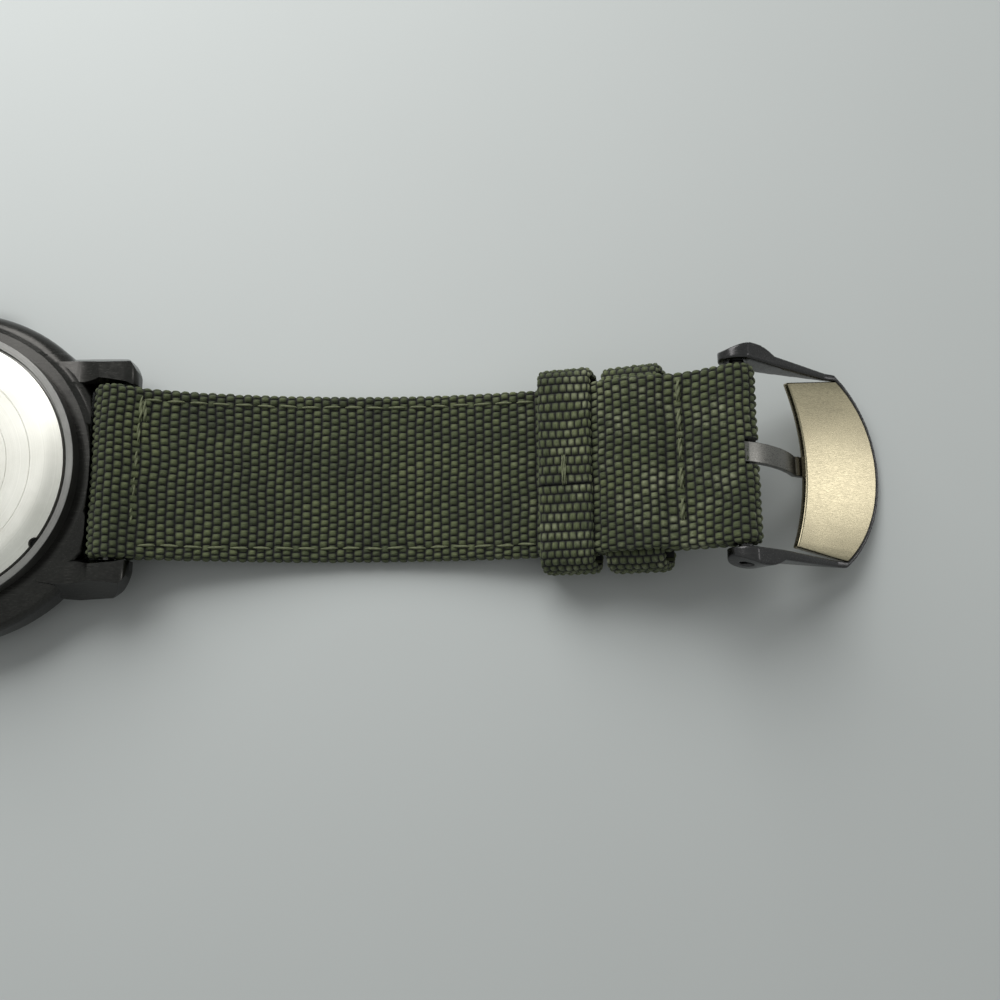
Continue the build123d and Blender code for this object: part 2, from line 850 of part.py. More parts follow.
# Stem from the crown into the movement, and the clutch that it slides in
clutch_square = stem_radius * sqrt(2) - 2 * running_gap
with BuildPart() as stem:
    with BuildSketch(crosswise(stem_end + clutch_length + crown_pull)):
        Circle(stem_radius)
    extrude(amount=crown_start + crown_length - crown_wall - stem_end - clutch_length - crown_pull)
    with BuildSketch(crosswise(stem_end)):
        Rectangle(clutch_square, clutch_square)
    extrude(amount=clutch_length + crown_pull)
keep(stem, "stem")
with BuildPart() as clutch:
    with BuildSketch(crosswise(stem_end)):
        Circle(clutch_radius)
        with PolarLocations(clutch_radius, minute_pinion_teeth):
            Rectangle(2 * running_gap, clutch_radius * clutch_groove_share, mode=Mode.SUBTRACT)
        Rectangle(clutch_square + 2 * running_gap, clutch_square + 2 * running_gap, mode=Mode.SUBTRACT)
    extrude(amount=clutch_length)
keep(clutch, "clutch_pinion")


def bar_plane(side, distance):
    """A plane square to a lug bar, at a distance along it."""
    return Plane(origin=(side * bar_reach, distance, bar_height), x_dir=(1, 0, 0), z_dir=(0, 1, 0))


# Spring bars: tubes with a lip at each end, and the pins that spring out of them
bar_names = {1: "buckle_side", -1: "tail_side"}
for side, bar_name in bar_names.items():
    with BuildPart() as bar_tube:
        with BuildSketch(bar_plane(side, 0)):
            Circle(bar_radius)
            Circle(pin_radius + running_gap, mode=Mode.SUBTRACT)
        extrude(amount=bar_length / 2, both=True)
        with BuildSketch(bar_plane(side, 0)):
            Circle(bar_bore)
        extrude(amount=bar_length / 2 - bar_lip, both=True, mode=Mode.SUBTRACT)
    keep(bar_tube, f"{bar_name}_bar_tube")
    for end, end_name in ((1, "crown"), (-1, "plain")):
        collar_start = end * (bar_length / 2 - bar_lip - collar_length)
        with BuildPart() as pin:
            with BuildSketch(bar_plane(side, collar_start)):
                Circle(collar_radius)
            extrude(amount=end * collar_length)
            with BuildSketch(bar_plane(side, collar_start)):
                Circle(pin_radius)
            extrude(amount=end * (collar_length + bar_lip + lug_inside - bar_length / 2 + pin_reach))
        keep(pin, f"{bar_name}_{end_name}_pin")

spring_half = bar_length / 2 - bar_lip - collar_length - pin_travel - running_gap
with BuildPart() as bar_springs:
    for side in bar_names:
        with BuildSketch(bar_plane(side, 0)):
            Circle(spring_radius)
            Circle(spring_radius - spring_wall, mode=Mode.SUBTRACT)
        extrude(amount=spring_half, both=True)
keep(bar_springs, "bar_springs")


class Bend:
    """The arc that half of the strap lies along, from its lug bar outwards."""

    def __init__(self, side, radius):
        self.side = side
        self.radius = radius
        middle = radius - layer
        self.centre_x = bar_reach + sqrt(middle ** 2 - (radius - bar_height) ** 2)
        self.bar_angle = -degrees(asin((self.centre_x - bar_reach) / middle))

    def angle_at(self, reach, depth=0):
        """The arc's angle at a distance from the watch's middle, this deep in the strap."""
        return degrees(asin((reach - self.centre_x) / (self.radius - depth)))

    def point(self, depth, angle):
        """The side view's point this deep in the strap, as (x, z)."""
        arm = self.radius - depth
        reach = self.centre_x + arm * sin(radians(angle))
        return (self.side * reach, self.radius - arm * cos(radians(angle)))

    def plane(self, depth, angle):
        """A plane on the strap, x along it, y across it and z towards the wrist."""
        x, z = self.point(depth, angle)
        lean = radians(angle)
        return Plane(origin=(x, 0, z), x_dir=(self.side * cos(lean), 0, sin(lean)),
                     z_dir=(-self.side * sin(lean), 0, cos(lean)))

    def section(self, angle):
        """A plane that cuts the strap square, with y pointing away from the wrist side."""
        lean = radians(angle)
        return Plane(origin=(self.side * self.centre_x, 0, self.radius), x_dir=(0, 1, 0),
                     z_dir=(self.side * cos(lean), 0, sin(lean)))

    def axis(self):
        """The axis that things slide round along the strap, towards its end."""
        return Axis((self.side * self.centre_x, 0, self.radius), (0, -self.side, 0))


def tangent_point(centre, radius, outer, side):
    """Where a line from an outer point touches a circle, on one side of it."""
    across = (outer[0] - centre[0], outer[1] - centre[1])
    reach = sqrt(across[0] ** 2 + across[1] ** 2)
    turn = atan2(across[1], across[0]) + side * acos(radius / reach)
    return (centre[0] + radius * cos(turn), centre[1] + radius * sin(turn))


def arc_through(bend, depth, start, end):
    """An arc of the strap's bend between two angles."""
    middle = (start + end) / 2
    return ThreePointArc(bend.point(depth, start), bend.point(depth, middle), bend.point(depth, end))


loop_radius = bar_radius + tunnel_slack + layer
tunnel_radius = bar_radius + tunnel_slack


def lining_outline(bend, end_angle):
    """Side view of the layer on the wrist side, which turns round the lug bar."""
    bar_point = (bend.side * bar_reach, bar_height)
    seam = bend.bar_angle + degrees(seam_run / bend.radius)
    wrist_side = bend.point(2 * layer, seam)
    outer_side = bend.point(0, seam)
    top = tangent_point(bar_point, loop_radius, wrist_side, bend.side)
    bottom = tangent_point(bar_point, loop_radius, outer_side, -bend.side)
    back = bend.plane(layer, bend.bar_angle).x_dir
    far = (bar_point[0] - back.X * loop_radius, bar_point[1] - back.Z * loop_radius)
    arc_through(bend, 2 * layer, end_angle, seam)
    Line(wrist_side, top)
    ThreePointArc(top, far, bottom)
    Line(bottom, outer_side)
    Line(outer_side, bend.point(layer, seam))
    arc_through(bend, layer, seam, end_angle)
    Line(bend.point(layer, end_angle), bend.point(2 * layer, end_angle))


short_bend = Bend(1, bend_radius)
long_bend = Bend(-1, tail_bend_radius)

# Places along the buckle half, counted back from the pivot
flap_reach = buckle_reach - flap_run
sew_reach = buckle_reach - sew_back
fixed_start = buckle_reach - fixed_back
floating_start = fixed_start - floating_gap - floating_width

# Buckle pivot, at the place where the outer layer turns back into the flap
turn_inside = pivot_radius + pivot_play
turn_outside = turn_inside + layer
pivot_angle = short_bend.angle_at(buckle_reach, turn_outside)
pivot_point = short_bend.point(turn_outside, pivot_angle)
pivot_plane = short_bend.plane(turn_outside, pivot_angle)

# Buckle half, wrist side: from the lug bar to just short of the pivot
lining_end = pivot_angle - degrees((turn_inside + lining_gap) / bend_radius)
with BuildPart() as short_lining:
    with BuildSketch(Plane.XZ):
        with BuildLine():
            lining_outline(short_bend, lining_end)
        make_face()
        with Locations((bar_reach, bar_height)):
            Circle(tunnel_radius, mode=Mode.SUBTRACT)
    extrude(amount=strap_width / 2, both=True)
    with BuildSketch(Plane(origin=(pivot_point[0], 0, pivot_point[1]),
                           x_dir=pivot_plane.x_dir, z_dir=(0, -1, 0))):
        Circle(tongue_ring + 2 * running_gap)
        Rectangle(2 * slot_run, 4 * layer)
    extrude(amount=slot_width / 2, both=True, mode=Mode.SUBTRACT)
keep(short_lining, "buckle_strap_lining")

# Height of the flap's upper face over the strap's outer face: down to the
# sewn row, up over the fixed keeper, and down again to its end
flap_low = 3 * layer
flap_high = 2 * layer + 2 * keeper_skin + keeper_wall + layer
fixed_from = short_bend.angle_at(fixed_start)
fixed_to = short_bend.angle_at(fixed_start + fixed_width)
ramp = degrees(flap_ramp / bend_radius)
flap_route = [
    (pivot_angle, 2 * turn_outside),
    (short_bend.angle_at(sew_reach), flap_low + keeper_skin),
    (fixed_to + ramp, flap_low + keeper_skin),
    (fixed_to, flap_high),
    ((fixed_from + fixed_to) / 2, flap_high),
    (fixed_from, flap_high),
    (fixed_from - ramp, flap_low + keeper_skin),
    (short_bend.angle_at(flap_reach), flap_low + keeper_skin),
]

# Buckle half, outer side: along the arc, round the pivot and back as the flap
short_seam = short_bend.bar_angle + degrees(seam_run / short_bend.radius)
pivot_x = pivot_plane.x_dir
with BuildPart() as short_outer:
    with BuildSketch(Plane.XZ):
        with BuildLine():
            arc_through(short_bend, 0, short_seam, pivot_angle)
            ThreePointArc(
                short_bend.point(0, pivot_angle),
                (pivot_point[0] + pivot_x.X * turn_outside, pivot_point[1] + pivot_x.Z * turn_outside),
                short_bend.point(2 * turn_outside, pivot_angle),
            )
            Polyline(*[short_bend.point(height, angle) for angle, height in flap_route])
            Polyline(
                short_bend.point(flap_route[-1][1], flap_route[-1][0]),
                *[short_bend.point(height - layer, angle) for angle, height in reversed(flap_route)],
            )
            ThreePointArc(
                short_bend.point(2 * turn_outside - layer, pivot_angle),
                (pivot_point[0] + pivot_x.X * turn_inside, pivot_point[1] + pivot_x.Z * turn_inside),
                short_bend.point(layer, pivot_angle),
            )
            arc_through(short_bend, layer, pivot_angle, short_seam)
            Line(short_bend.point(layer, short_seam), short_bend.point(0, short_seam))
        make_face()
    extrude(amount=strap_width / 2, both=True)
    with BuildSketch(Plane(origin=(pivot_point[0], 0, pivot_point[1]),
                           x_dir=pivot_plane.x_dir, z_dir=(0, -1, 0))):
        Circle(tongue_ring + 2 * running_gap)
        with Locations(((turn_outside - slot_back) / 2, -overrun)):
            Rectangle(turn_outside + slot_back + overrun, 2 * turn_outside + overrun)
        with Locations((-slot_run / 2, -(turn_outside + overrun) / 2)):
            Rectangle(slot_run, turn_outside + overrun)
    extrude(amount=slot_width / 2, both=True, mode=Mode.SUBTRACT)
keep(short_outer, "buckle_strap_outer")

# Tail half, two layers that end in a blunt point and are punched with holes
tail_end = long_bend.bar_angle + degrees(tail_length / tail_bend_radius)
long_seam = long_bend.bar_angle + degrees(seam_run / long_bend.radius)


# What is cut from both layers: the tip's corners and the punched holes
with BuildPart() as tail_trim:
    with BuildSketch(long_bend.plane(0, tail_end)):
        for side in (1, -1):
            with BuildLine():
                Polyline(
                    (-tip_run, side * strap_width / 2),
                    (-tip_run, side * (strap_width + overrun)),
                    (overrun, side * (strap_width + overrun)),
                    (overrun, 0),
                    (0, 0),
                )
                ThreePointArc(
                    (0, 0),
                    (-tip_run * tip_round_shares[0], side * strap_width * tip_round_shares[1]),
                    (-tip_run, side * strap_width / 2),
                )
            make_face()
    extrude(amount=3 * layer, both=True)
    for hole in range(hole_count):
        hole_back = degrees((first_hole + hole * hole_pitch) / tail_bend_radius)
        with BuildSketch(long_bend.plane(layer, tail_end - hole_back)):
            Circle(hole_radius)
        extrude(amount=2 * layer, both=True)


with BuildPart() as long_lining:
    with BuildSketch(Plane.XZ):
        with BuildLine():
            lining_outline(long_bend, tail_end)
        make_face()
        with Locations((-bar_reach, bar_height)):
            Circle(tunnel_radius, mode=Mode.SUBTRACT)
    extrude(amount=strap_width / 2, both=True)
    add(tail_trim.part, mode=Mode.SUBTRACT)
keep(long_lining, "tail_strap_lining")
with BuildPart() as long_outer:
    with BuildSketch(Plane.XZ):
        with BuildLine():
            arc_through(long_bend, 0, long_seam, tail_end)
            Line(long_bend.point(0, tail_end), long_bend.point(layer, tail_end))
            arc_through(long_bend, layer, tail_end, long_seam)
            Line(long_bend.point(layer, long_seam), long_bend.point(0, long_seam))
        make_face()
    extrude(amount=strap_width / 2, both=True)
    add(tail_trim.part, mode=Mode.SUBTRACT)
keep(long_outer, "tail_strap_outer")


def keeper(start, width, low, high):
    """A woven loop round the strap between two depths, bent to the strap's arc."""
    inside = strap_width / 2 + keeper_side_room
    middle = -bend_radius + (low + high) / 2
    with BuildPart() as loop:
        with BuildSketch(short_bend.section(short_bend.angle_at(start))):
            with Locations((0, middle)):
                RectangleRounded(2 * (inside + keeper_wall), high - low + 2 * keeper_wall,
                                 keeper_corner + keeper_wall)
                RectangleRounded(2 * inside, high - low, keeper_corner, mode=Mode.SUBTRACT)
        revolve(axis=short_bend.axis(), revolution_arc=degrees(width / bend_radius))
    return loop


floating_keeper = keeper(floating_start, floating_width, -floating_room,
                         flap_low + keeper_skin + floating_slack)
keep(floating_keeper, "floating_keeper")
fixed_keeper = keeper(fixed_start, fixed_width, -fixed_room, 2 * layer + keeper_skin)
keep(fixed_keeper, "fixed_keeper")

# Buckle: everything is drawn in the plane that the frame hangs in, which
# leans down from the pivot until the tongue's end meets the table
tongue_seat = -arm_bottom - tongue_skin
tongue_depth = tongue_thickness - tongue_seat
tongue_swing = sqrt(tongue_length ** 2 + tongue_depth ** 2)
droop = asin(min(1, (pivot_point[1] - table_gap) / tongue_swing)) - atan2(tongue_depth, tongue_length)
buckle_plane = Plane(origin=(pivot_point[0], 0, pivot_point[1]),
                     x_dir=(cos(droop), 0, -sin(droop)), z_dir=(sin(droop), 0, cos(droop)))
buckle_side = Plane(origin=(pivot_point[0], 0, pivot_point[1]),
                    x_dir=(cos(droop), 0, -sin(droop)), z_dir=(0, -1, 0))
rim_centre = buckle_length - rim_radius
rim_meets = rim_centre + sqrt(rim_radius ** 2 - arm_outside ** 2)
arm_inside = arm_outside - arm_wall
rim_inside = arm_outside - arm_thin_wall
inner_rim = rim_radius - rim_wall
inner_meets = rim_centre + sqrt(inner_rim ** 2 - rim_inside ** 2)
with BuildPart() as buckle_frame:
    with BuildSketch(buckle_plane.offset(-arm_bottom)):
        with BuildLine():
            ThreePointArc((-eye_back, arm_inside), (pivot_radius, eye_outside), (eye_front, arm_outside))
            Line((eye_front, arm_outside), (rim_meets, arm_outside))
            ThreePointArc((rim_meets, arm_outside), (buckle_length, 0), (rim_meets, -arm_outside))
            Line((rim_meets, -arm_outside), (eye_front, -arm_outside))
            ThreePointArc((eye_front, -arm_outside), (pivot_radius, -eye_outside), (-eye_back, -arm_inside))
            Polyline((-eye_back, -arm_inside), (eye_front, -arm_inside), (inner_meets, -rim_inside))
            ThreePointArc((inner_meets, -rim_inside), (rim_centre + inner_rim, 0),
                          (inner_meets, rim_inside))
            Polyline((inner_meets, rim_inside), (eye_front, arm_inside), (-eye_back, arm_inside))
        make_face()
    extrude(amount=arm_bottom + 2 * eye_radius)
    with BuildSketch(buckle_side):
        with BuildLine():
            Polyline(
                (0, -eye_radius),
                (eye_front, -arm_bottom),
                (buckle_length + overrun, -arm_bottom),
                (buckle_length + overrun, rim_top),
                (rim_meets - rim_slope_run, rim_top),
                (eye_front, arm_top),
                (0, eye_radius),
            )
            ThreePointArc((0, eye_radius), (-eye_radius, 0), (0, -eye_radius))
        make_face()
    extrude(amount=eye_outside + overrun, both=True, mode=Mode.INTERSECT)
    with BuildSketch(buckle_side):
        Circle(pivot_radius)
    extrude(amount=eye_outside + overrun, both=True, mode=Mode.SUBTRACT)
    fillet(buckle_frame.edges().filter_by(lambda edge: edge.length > 2 * eye_radius)
           .sort_by(Axis(buckle_plane.origin, buckle_plane.z_dir))[-2:], radius=arm_round)
keep(buckle_frame, "buckle_frame")

# Wide plate let into the frame's rim
with BuildPart() as buckle_plate:
    plate_half = arm_inside - bridge_end_gap
    plate_corner = bridge_front - bridge_inner_radius + sqrt(bridge_inner_radius ** 2 - plate_half ** 2)
    with BuildSketch(buckle_plane.offset(-arm_bottom)):
        with BuildLine():
            ThreePointArc((plate_corner, plate_half), (bridge_front, 0), (plate_corner, -plate_half))
            Line((plate_corner, -plate_half), (inner_meets, -rim_inside))
            ThreePointArc((inner_meets, -rim_inside), (rim_centre + inner_rim, 0),
                          (inner_meets, rim_inside))
            Line((inner_meets, rim_inside), (plate_corner, plate_half))
        make_face()
    extrude(amount=arm_bottom - bridge_top)
keep(buckle_plate, "buckle_plate")

# Pivot pin through the frame's eyes
with BuildPart() as buckle_pin:
    with BuildSketch(buckle_side):
        Circle(pivot_radius)
    extrude(amount=eye_outside - pivot_inset, both=True)
keep(buckle_pin, "buckle_pin")

# Tongue: a strip rolled round the pin, bowed down to a crease, then flat under
# the plate as far as the rim
bow_drop = tongue_ring - tongue_seat
bow_middle = tongue_ring - bow_drop / 4
with BuildPart() as tongue:
    with BuildSketch(buckle_side):
        with BuildLine():
            Spline(
                (0, tongue_ring),
                (tongue_dip / 2, bow_middle),
                (tongue_dip, tongue_seat),
                tangents=[(1, 0), (tongue_dip, -2 * bow_drop)],
            )
            Polyline(
                (tongue_dip, tongue_seat),
                (tongue_length, tongue_seat),
                (tongue_length, tongue_seat - tongue_thickness),
                (tongue_dip, tongue_seat - tongue_thickness),
            )
            Spline(
                (tongue_dip, tongue_seat - tongue_thickness),
                (tongue_dip / 2, bow_middle - tongue_thickness),
                (0, tongue_ring - tongue_thickness),
                tangents=[(-tongue_dip, 2 * bow_drop), (-1, 0)],
            )
            Line((0, tongue_ring - tongue_thickness), (0, tongue_ring))
        make_face()
        Circle(tongue_ring)
        Circle(pivot_radius + running_gap, mode=Mode.SUBTRACT)
    extrude(amount=tongue_width / 2, both=True)
keep(tongue, "buckle_tongue")

print("strap arc centre", short_bend.centre_x, short_bend.bar_angle, "pivot", pivot_point, pivot_angle)
print("tail end", long_bend.point(0, tail_end), "seam", short_bend.point(0, short_seam))
print("lowest keeper", short_bend.point(-floating_room - keeper_wall, short_bend.angle_at(floating_start)))
print("levels", case_back_face, liner_top, back_top, bar_height, stem_height, dial_face, plate_back)
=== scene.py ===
import bpy
import bmesh
import json
import math
import random
import numpy as np
from mathutils import Matrix, Vector, noise


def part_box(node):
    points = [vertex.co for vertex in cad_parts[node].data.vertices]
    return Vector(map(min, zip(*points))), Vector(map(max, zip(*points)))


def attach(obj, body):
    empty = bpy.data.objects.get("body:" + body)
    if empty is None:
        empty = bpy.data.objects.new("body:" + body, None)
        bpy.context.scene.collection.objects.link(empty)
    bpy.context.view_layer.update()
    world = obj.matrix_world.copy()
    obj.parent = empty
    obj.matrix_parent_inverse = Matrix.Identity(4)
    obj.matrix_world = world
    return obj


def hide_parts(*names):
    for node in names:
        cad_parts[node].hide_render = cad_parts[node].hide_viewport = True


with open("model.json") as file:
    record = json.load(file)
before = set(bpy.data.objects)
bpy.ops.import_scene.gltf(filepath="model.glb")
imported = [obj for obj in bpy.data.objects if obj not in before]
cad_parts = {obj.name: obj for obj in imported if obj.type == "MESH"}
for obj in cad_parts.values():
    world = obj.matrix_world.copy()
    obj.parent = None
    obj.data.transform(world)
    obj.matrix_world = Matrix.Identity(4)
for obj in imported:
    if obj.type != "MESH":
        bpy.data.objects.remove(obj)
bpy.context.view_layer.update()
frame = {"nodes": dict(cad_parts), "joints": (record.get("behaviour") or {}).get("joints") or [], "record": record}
print("frame loaded:", len(frame["nodes"]), "nodes")

mm = 0.001
joints = {joint["name"]: joint for joint in frame["joints"]}


def selectOnly(*pieces):
    if bpy.context.object and bpy.context.object.mode != "OBJECT":
        bpy.ops.object.mode_set(mode="OBJECT")
    bpy.ops.object.select_all(action="DESELECT")
    for piece in pieces:
        piece.select_set(True)
        bpy.context.view_layer.objects.active = piece


def linearColour(hexColour):
    channels = [int(hexColour[place:place + 2], 16) / 255 for place in (1, 3, 5)]
    return [c / 12.92 if c <= 0.04045 else ((c + 0.055) / 1.055) ** 2.4 for c in channels] + [1]


def addNode(tree, kind, settings=None, links=None):
    # settings name either a property of the node or one of its sockets
    node = tree.nodes.new("ShaderNode" + kind)
    for name, value in (settings or {}).items():
        if isinstance(name, int) or name in node.inputs:
            node.inputs[name].default_value = value
        else:
            setattr(node, name, value)
    for name, source in (links or {}).items():
        tree.links.new(source, node.inputs[name])
    return node


def startMaterial(name, colour, metallic, roughness, extra=None):
    material = bpy.data.materials.new(name)
    material.use_nodes = True
    shader = material.node_tree.nodes["Principled BSDF"]
    values = {"Base Color": linearColour(colour), "Metallic": metallic, "Roughness": roughness}
    values.update(extra or {})
    for socket, value in values.items():
        shader.inputs[socket].default_value = value
    return material, material.node_tree, shader


def rampBetween(tree, factor, stops):
    ramp = addNode(tree, "ValToRGB", links={"Fac": factor})
    elements = ramp.color_ramp.elements
    while len(elements) < len(stops):
        elements.new(1)
    for element, (position, colour) in zip(elements, stops):
        element.position = position
        element.color = linearColour(colour)
    return ramp.outputs["Color"]


# Brushed metal: long scratches run along one axis, so the noise is stretched
# the same way, in scratches per millimetre across and along
def brushedMetal(name, colour, worn, roughness, look):
    material, tree, shader = startMaterial(name, colour, 1.0, roughness)
    place = addNode(tree, "TexCoord").outputs["Object"]
    stretched = addNode(tree, "Mapping", {"Scale": [s / mm for s in look["scratches"]]}, {"Vector": place})
    lines = addNode(tree, "TexNoise", {"Scale": 1.0, "Detail": 3.0, "Roughness": 0.6},
                    {"Vector": stretched.outputs["Vector"]})
    patches = addNode(tree, "TexNoise", {"Scale": look["patches"] / mm, "Detail": 4.0}, {"Vector": place})
    mixed = addNode(tree, "Math", {"operation": "MULTIPLY_ADD", 1: 1.5},
                    {0: lines.outputs["Fac"], 2: patches.outputs["Fac"]})
    tone = addNode(tree, "MapRange", {"From Min": 0.95, "From Max": 1.55}, {"Value": mixed.outputs[0]})
    tree.links.new(rampBetween(tree, tone.outputs["Result"], [(0.0, colour), (1.0, worn)]),
                   shader.inputs["Base Color"])
    shine = addNode(tree, "MapRange", {"From Min": 0.3, "From Max": 0.7, "To Min": roughness * 0.8,
                                       "To Max": roughness * 1.25}, {"Value": lines.outputs["Fac"]})
    tree.links.new(shine.outputs["Result"], shader.inputs["Roughness"])
    bump = addNode(tree, "Bump", {"Strength": look["strength"], "Distance": 0.02 * mm},
                   {"Height": lines.outputs["Fac"]})
    tree.links.new(bump.outputs["Normal"], shader.inputs["Normal"])
    return material


# Turned metal: the tool leaves fine rings round the watch's axis
def turnedMetal(name, colour, worn, roughness, look):
    material, tree, shader = startMaterial(name, colour, 1.0, roughness)
    place = addNode(tree, "TexCoord").outputs["Object"]
    flat = addNode(tree, "Mapping", {"Scale": (1, 1, 0)}, {"Vector": place})
    radius = addNode(tree, "VectorMath", {"operation": "LENGTH"}, {0: flat.outputs["Vector"]})
    ringsPlace = addNode(tree, "Math", {"operation": "MULTIPLY", 1: look["rings"] / mm},
                         {0: radius.outputs["Value"]})
    rings = addNode(tree, "TexNoise", {"noise_dimensions": "1D", "Scale": 1.0, "Detail": 4.0,
                                       "Roughness": 0.65}, {"W": ringsPlace.outputs[0]})
    grain = addNode(tree, "TexNoise", {"Scale": look["grain"] / mm, "Detail": 3.0}, {"Vector": place})
    patches = addNode(tree, "TexNoise", {"Scale": 0.18 / mm, "Detail": 4.0}, {"Vector": place})
    tone = addNode(tree, "Math", {"operation": "MULTIPLY_ADD", 1: 0.5},
                   {0: rings.outputs["Fac"], 2: patches.outputs["Fac"]})
    tree.links.new(rampBetween(tree, tone.outputs[0], [(0.5, colour), (0.95, worn)]),
                   shader.inputs["Base Color"])
    height = addNode(tree, "Math", {"operation": "MULTIPLY_ADD", 1: 0.6},
                     {0: rings.outputs["Fac"], 2: grain.outputs["Fac"]})
    bump = addNode(tree, "Bump", {"Strength": look["strength"], "Distance": 0.02 * mm},
                   {"Height": height.outputs[0]})
    tree.links.new(bump.outputs["Normal"], shader.inputs["Normal"])
    shine = addNode(tree, "MapRange", {"From Min": 0.3, "From Max": 0.7, "To Min": roughness * 0.85,
                                       "To Max": roughness * 1.2}, {"Value": grain.outputs["Fac"]})
    tree.links.new(shine.outputs["Result"], shader.inputs["Roughness"])
    return material


# Plain coatings, mouldings and plating: one colour, broken by a fine grain
def plainFinish(name, colour, second, metallic, roughness, grain, extra=None):
    material, tree, shader = startMaterial(name, colour, metallic, roughness, extra)
    place = addNode(tree, "TexCoord").outputs["Object"]
    speckle = addNode(tree, "TexNoise", {"Scale": grain / mm, "Detail": 4.0}, {"Vector": place})
    tree.links.new(rampBetween(tree, speckle.outputs["Fac"], [(0.3, colour), (0.75, second)]),
                   shader.inputs["Base Color"])
    bump = addNode(tree, "Bump", {"Strength": 0.2, "Distance": 0.01 * mm},
                   {"Height": speckle.outputs["Fac"]})
    tree.links.new(bump.outputs["Normal"], shader.inputs["Normal"])
    return material


# Woven nylon: the UV map runs in millimetres along and across the web, so each
# thread's float is a cell that takes its own shade, and its fibres run along it
def wovenNylon(name, look):
    material, tree, shader = startMaterial(name, look["dark"], 0.0, look["roughness"],
                                           {"Sheen Weight": look["sheen"], "Sheen Roughness": 0.5})
    flat = addNode(tree, "UVMap", {"uv_map": "web"}).outputs["UV"]
    split = addNode(tree, "SeparateXYZ", links={"Vector": flat})
    along = addNode(tree, "Math", {"operation": "DIVIDE", 1: look["rib"]}, {0: split.outputs["X"]})
    rib = addNode(tree, "Math", {"operation": "FLOOR"}, {0: along.outputs[0]})
    odd = addNode(tree, "Math", {"operation": "MODULO", 1: 2.0}, {0: rib.outputs[0]})
    across = addNode(tree, "Math", {"operation": "DIVIDE", 1: look["thread"]}, {0: split.outputs["Y"]})
    shifted = addNode(tree, "Math", {"operation": "MULTIPLY_ADD", 1: 0.5},
                      {0: odd.outputs[0], 2: across.outputs[0]})
    thread = addNode(tree, "Math", {"operation": "FLOOR"}, {0: shifted.outputs[0]})
    cell = addNode(tree, "CombineXYZ", links={"X": rib.outputs[0], "Y": thread.outputs[0]})
    chance = addNode(tree, "TexWhiteNoise", {"noise_dimensions": "2D"},
                     {"Vector": cell.outputs["Vector"]})
    # real fibres are under 0.05 mm, drawn at about 0.15 mm so that they show
    stretched = addNode(tree, "Mapping", {"Scale": (1.6, 7.0, 1.0)}, {"Vector": flat})
    fibres = addNode(tree, "TexNoise", {"Scale": 1.0, "Detail": 3.0, "Roughness": 0.65},
                     {"Vector": stretched.outputs["Vector"]})
    place = addNode(tree, "TexCoord").outputs["Object"]
    patches = addNode(tree, "TexNoise", {"Scale": 0.16 / mm, "Detail": 5.0, "Roughness": 0.6},
                      {"Vector": place})
    rise = addNode(tree, "Attribute", {"attribute_name": "rise"}).outputs["Fac"]
    first = addNode(tree, "Math", {"operation": "MULTIPLY_ADD", 1: 0.2},
                    {0: chance.outputs["Value"], 2: fibres.outputs["Fac"]})
    second = addNode(tree, "Math", {"operation": "MULTIPLY_ADD", 1: 0.9},
                     {0: patches.outputs["Fac"], 2: first.outputs[0]})
    tone = addNode(tree, "MapRange", {"From Min": 0.68, "From Max": 1.42}, {"Value": second.outputs[0]})
    colour = rampBetween(tree, tone.outputs["Result"], [(0.0, look["dark"]), (0.55, look["middle"]),
                                                        (1.0, look["light"])])
    # worn places go pale on the tops of the threads
    reach = addNode(tree, "SeparateXYZ", links={"Vector": place}).outputs["X"]
    wornAt = addNode(tree, "MapRange", {"From Min": look["wornFrom"] * mm, "From Max": look["wornTo"] * mm},
                     {"Value": reach})
    rub = addNode(tree, "TexNoise", {"Scale": 0.33 / mm, "Detail": 6.0, "Roughness": 0.7},
                  {"Vector": place})
    rubbed = addNode(tree, "MapRange", {"From Min": 0.5, "From Max": 0.72}, {"Value": rub.outputs["Fac"]})
    high = addNode(tree, "Math", {"operation": "MULTIPLY"}, {0: rubbed.outputs["Result"], 1: rise})
    wear = addNode(tree, "Math", {"operation": "MULTIPLY"},
                   {0: high.outputs[0], 1: wornAt.outputs["Result"]})
    pale = addNode(tree, "Mix", {"data_type": "RGBA", 7: linearColour(look["worn"])},
                   {0: wear.outputs[0], 6: colour})
    # painted shade: the base colour is darkened by how low each point of a float lies, so the grooves between
    # floats are painted dark on top of the shade their relief casts
    deep = addNode(tree, "MapRange", {"From Min": 0.17, "From Max": 0.85, "To Min": 0.0, "To Max": 1.14},
                   {"Value": rise})
    shaded = addNode(tree, "Mix", {"data_type": "RGBA", "blend_type": "MULTIPLY", 0: 1.0},
                     {6: pale.outputs[2], 7: deep.outputs["Result"]})
    tree.links.new(shaded.outputs[2], shader.inputs["Base Color"])
    bump = addNode(tree, "Bump", {"Strength": 0.8, "Distance": 0.07 * mm},
                   {"Height": fibres.outputs["Fac"]})
    tree.links.new(bump.outputs["Normal"], shader.inputs["Normal"])
    return material


# Crystal: polished mineral glass, which shows the dial clear
def clearGlass(name):
    material, tree, shader = startMaterial(name, "#f4f8f8", 0.0, 0.02,
                                           {"IOR": 1.52, "Transmission Weight": 1.0})
    place = addNode(tree, "TexCoord").outputs["Object"]
    haze = addNode(tree, "TexNoise", {"Scale": 0.4 / mm, "Detail": 3.0}, {"Vector": place})
    dull = addNode(tree, "MapRange", {"To Min": 0.01, "To Max": 0.05}, {"Value": haze.outputs["Fac"]})
    tree.links.new(dull.outputs["Result"], shader.inputs["Roughness"])
    return material


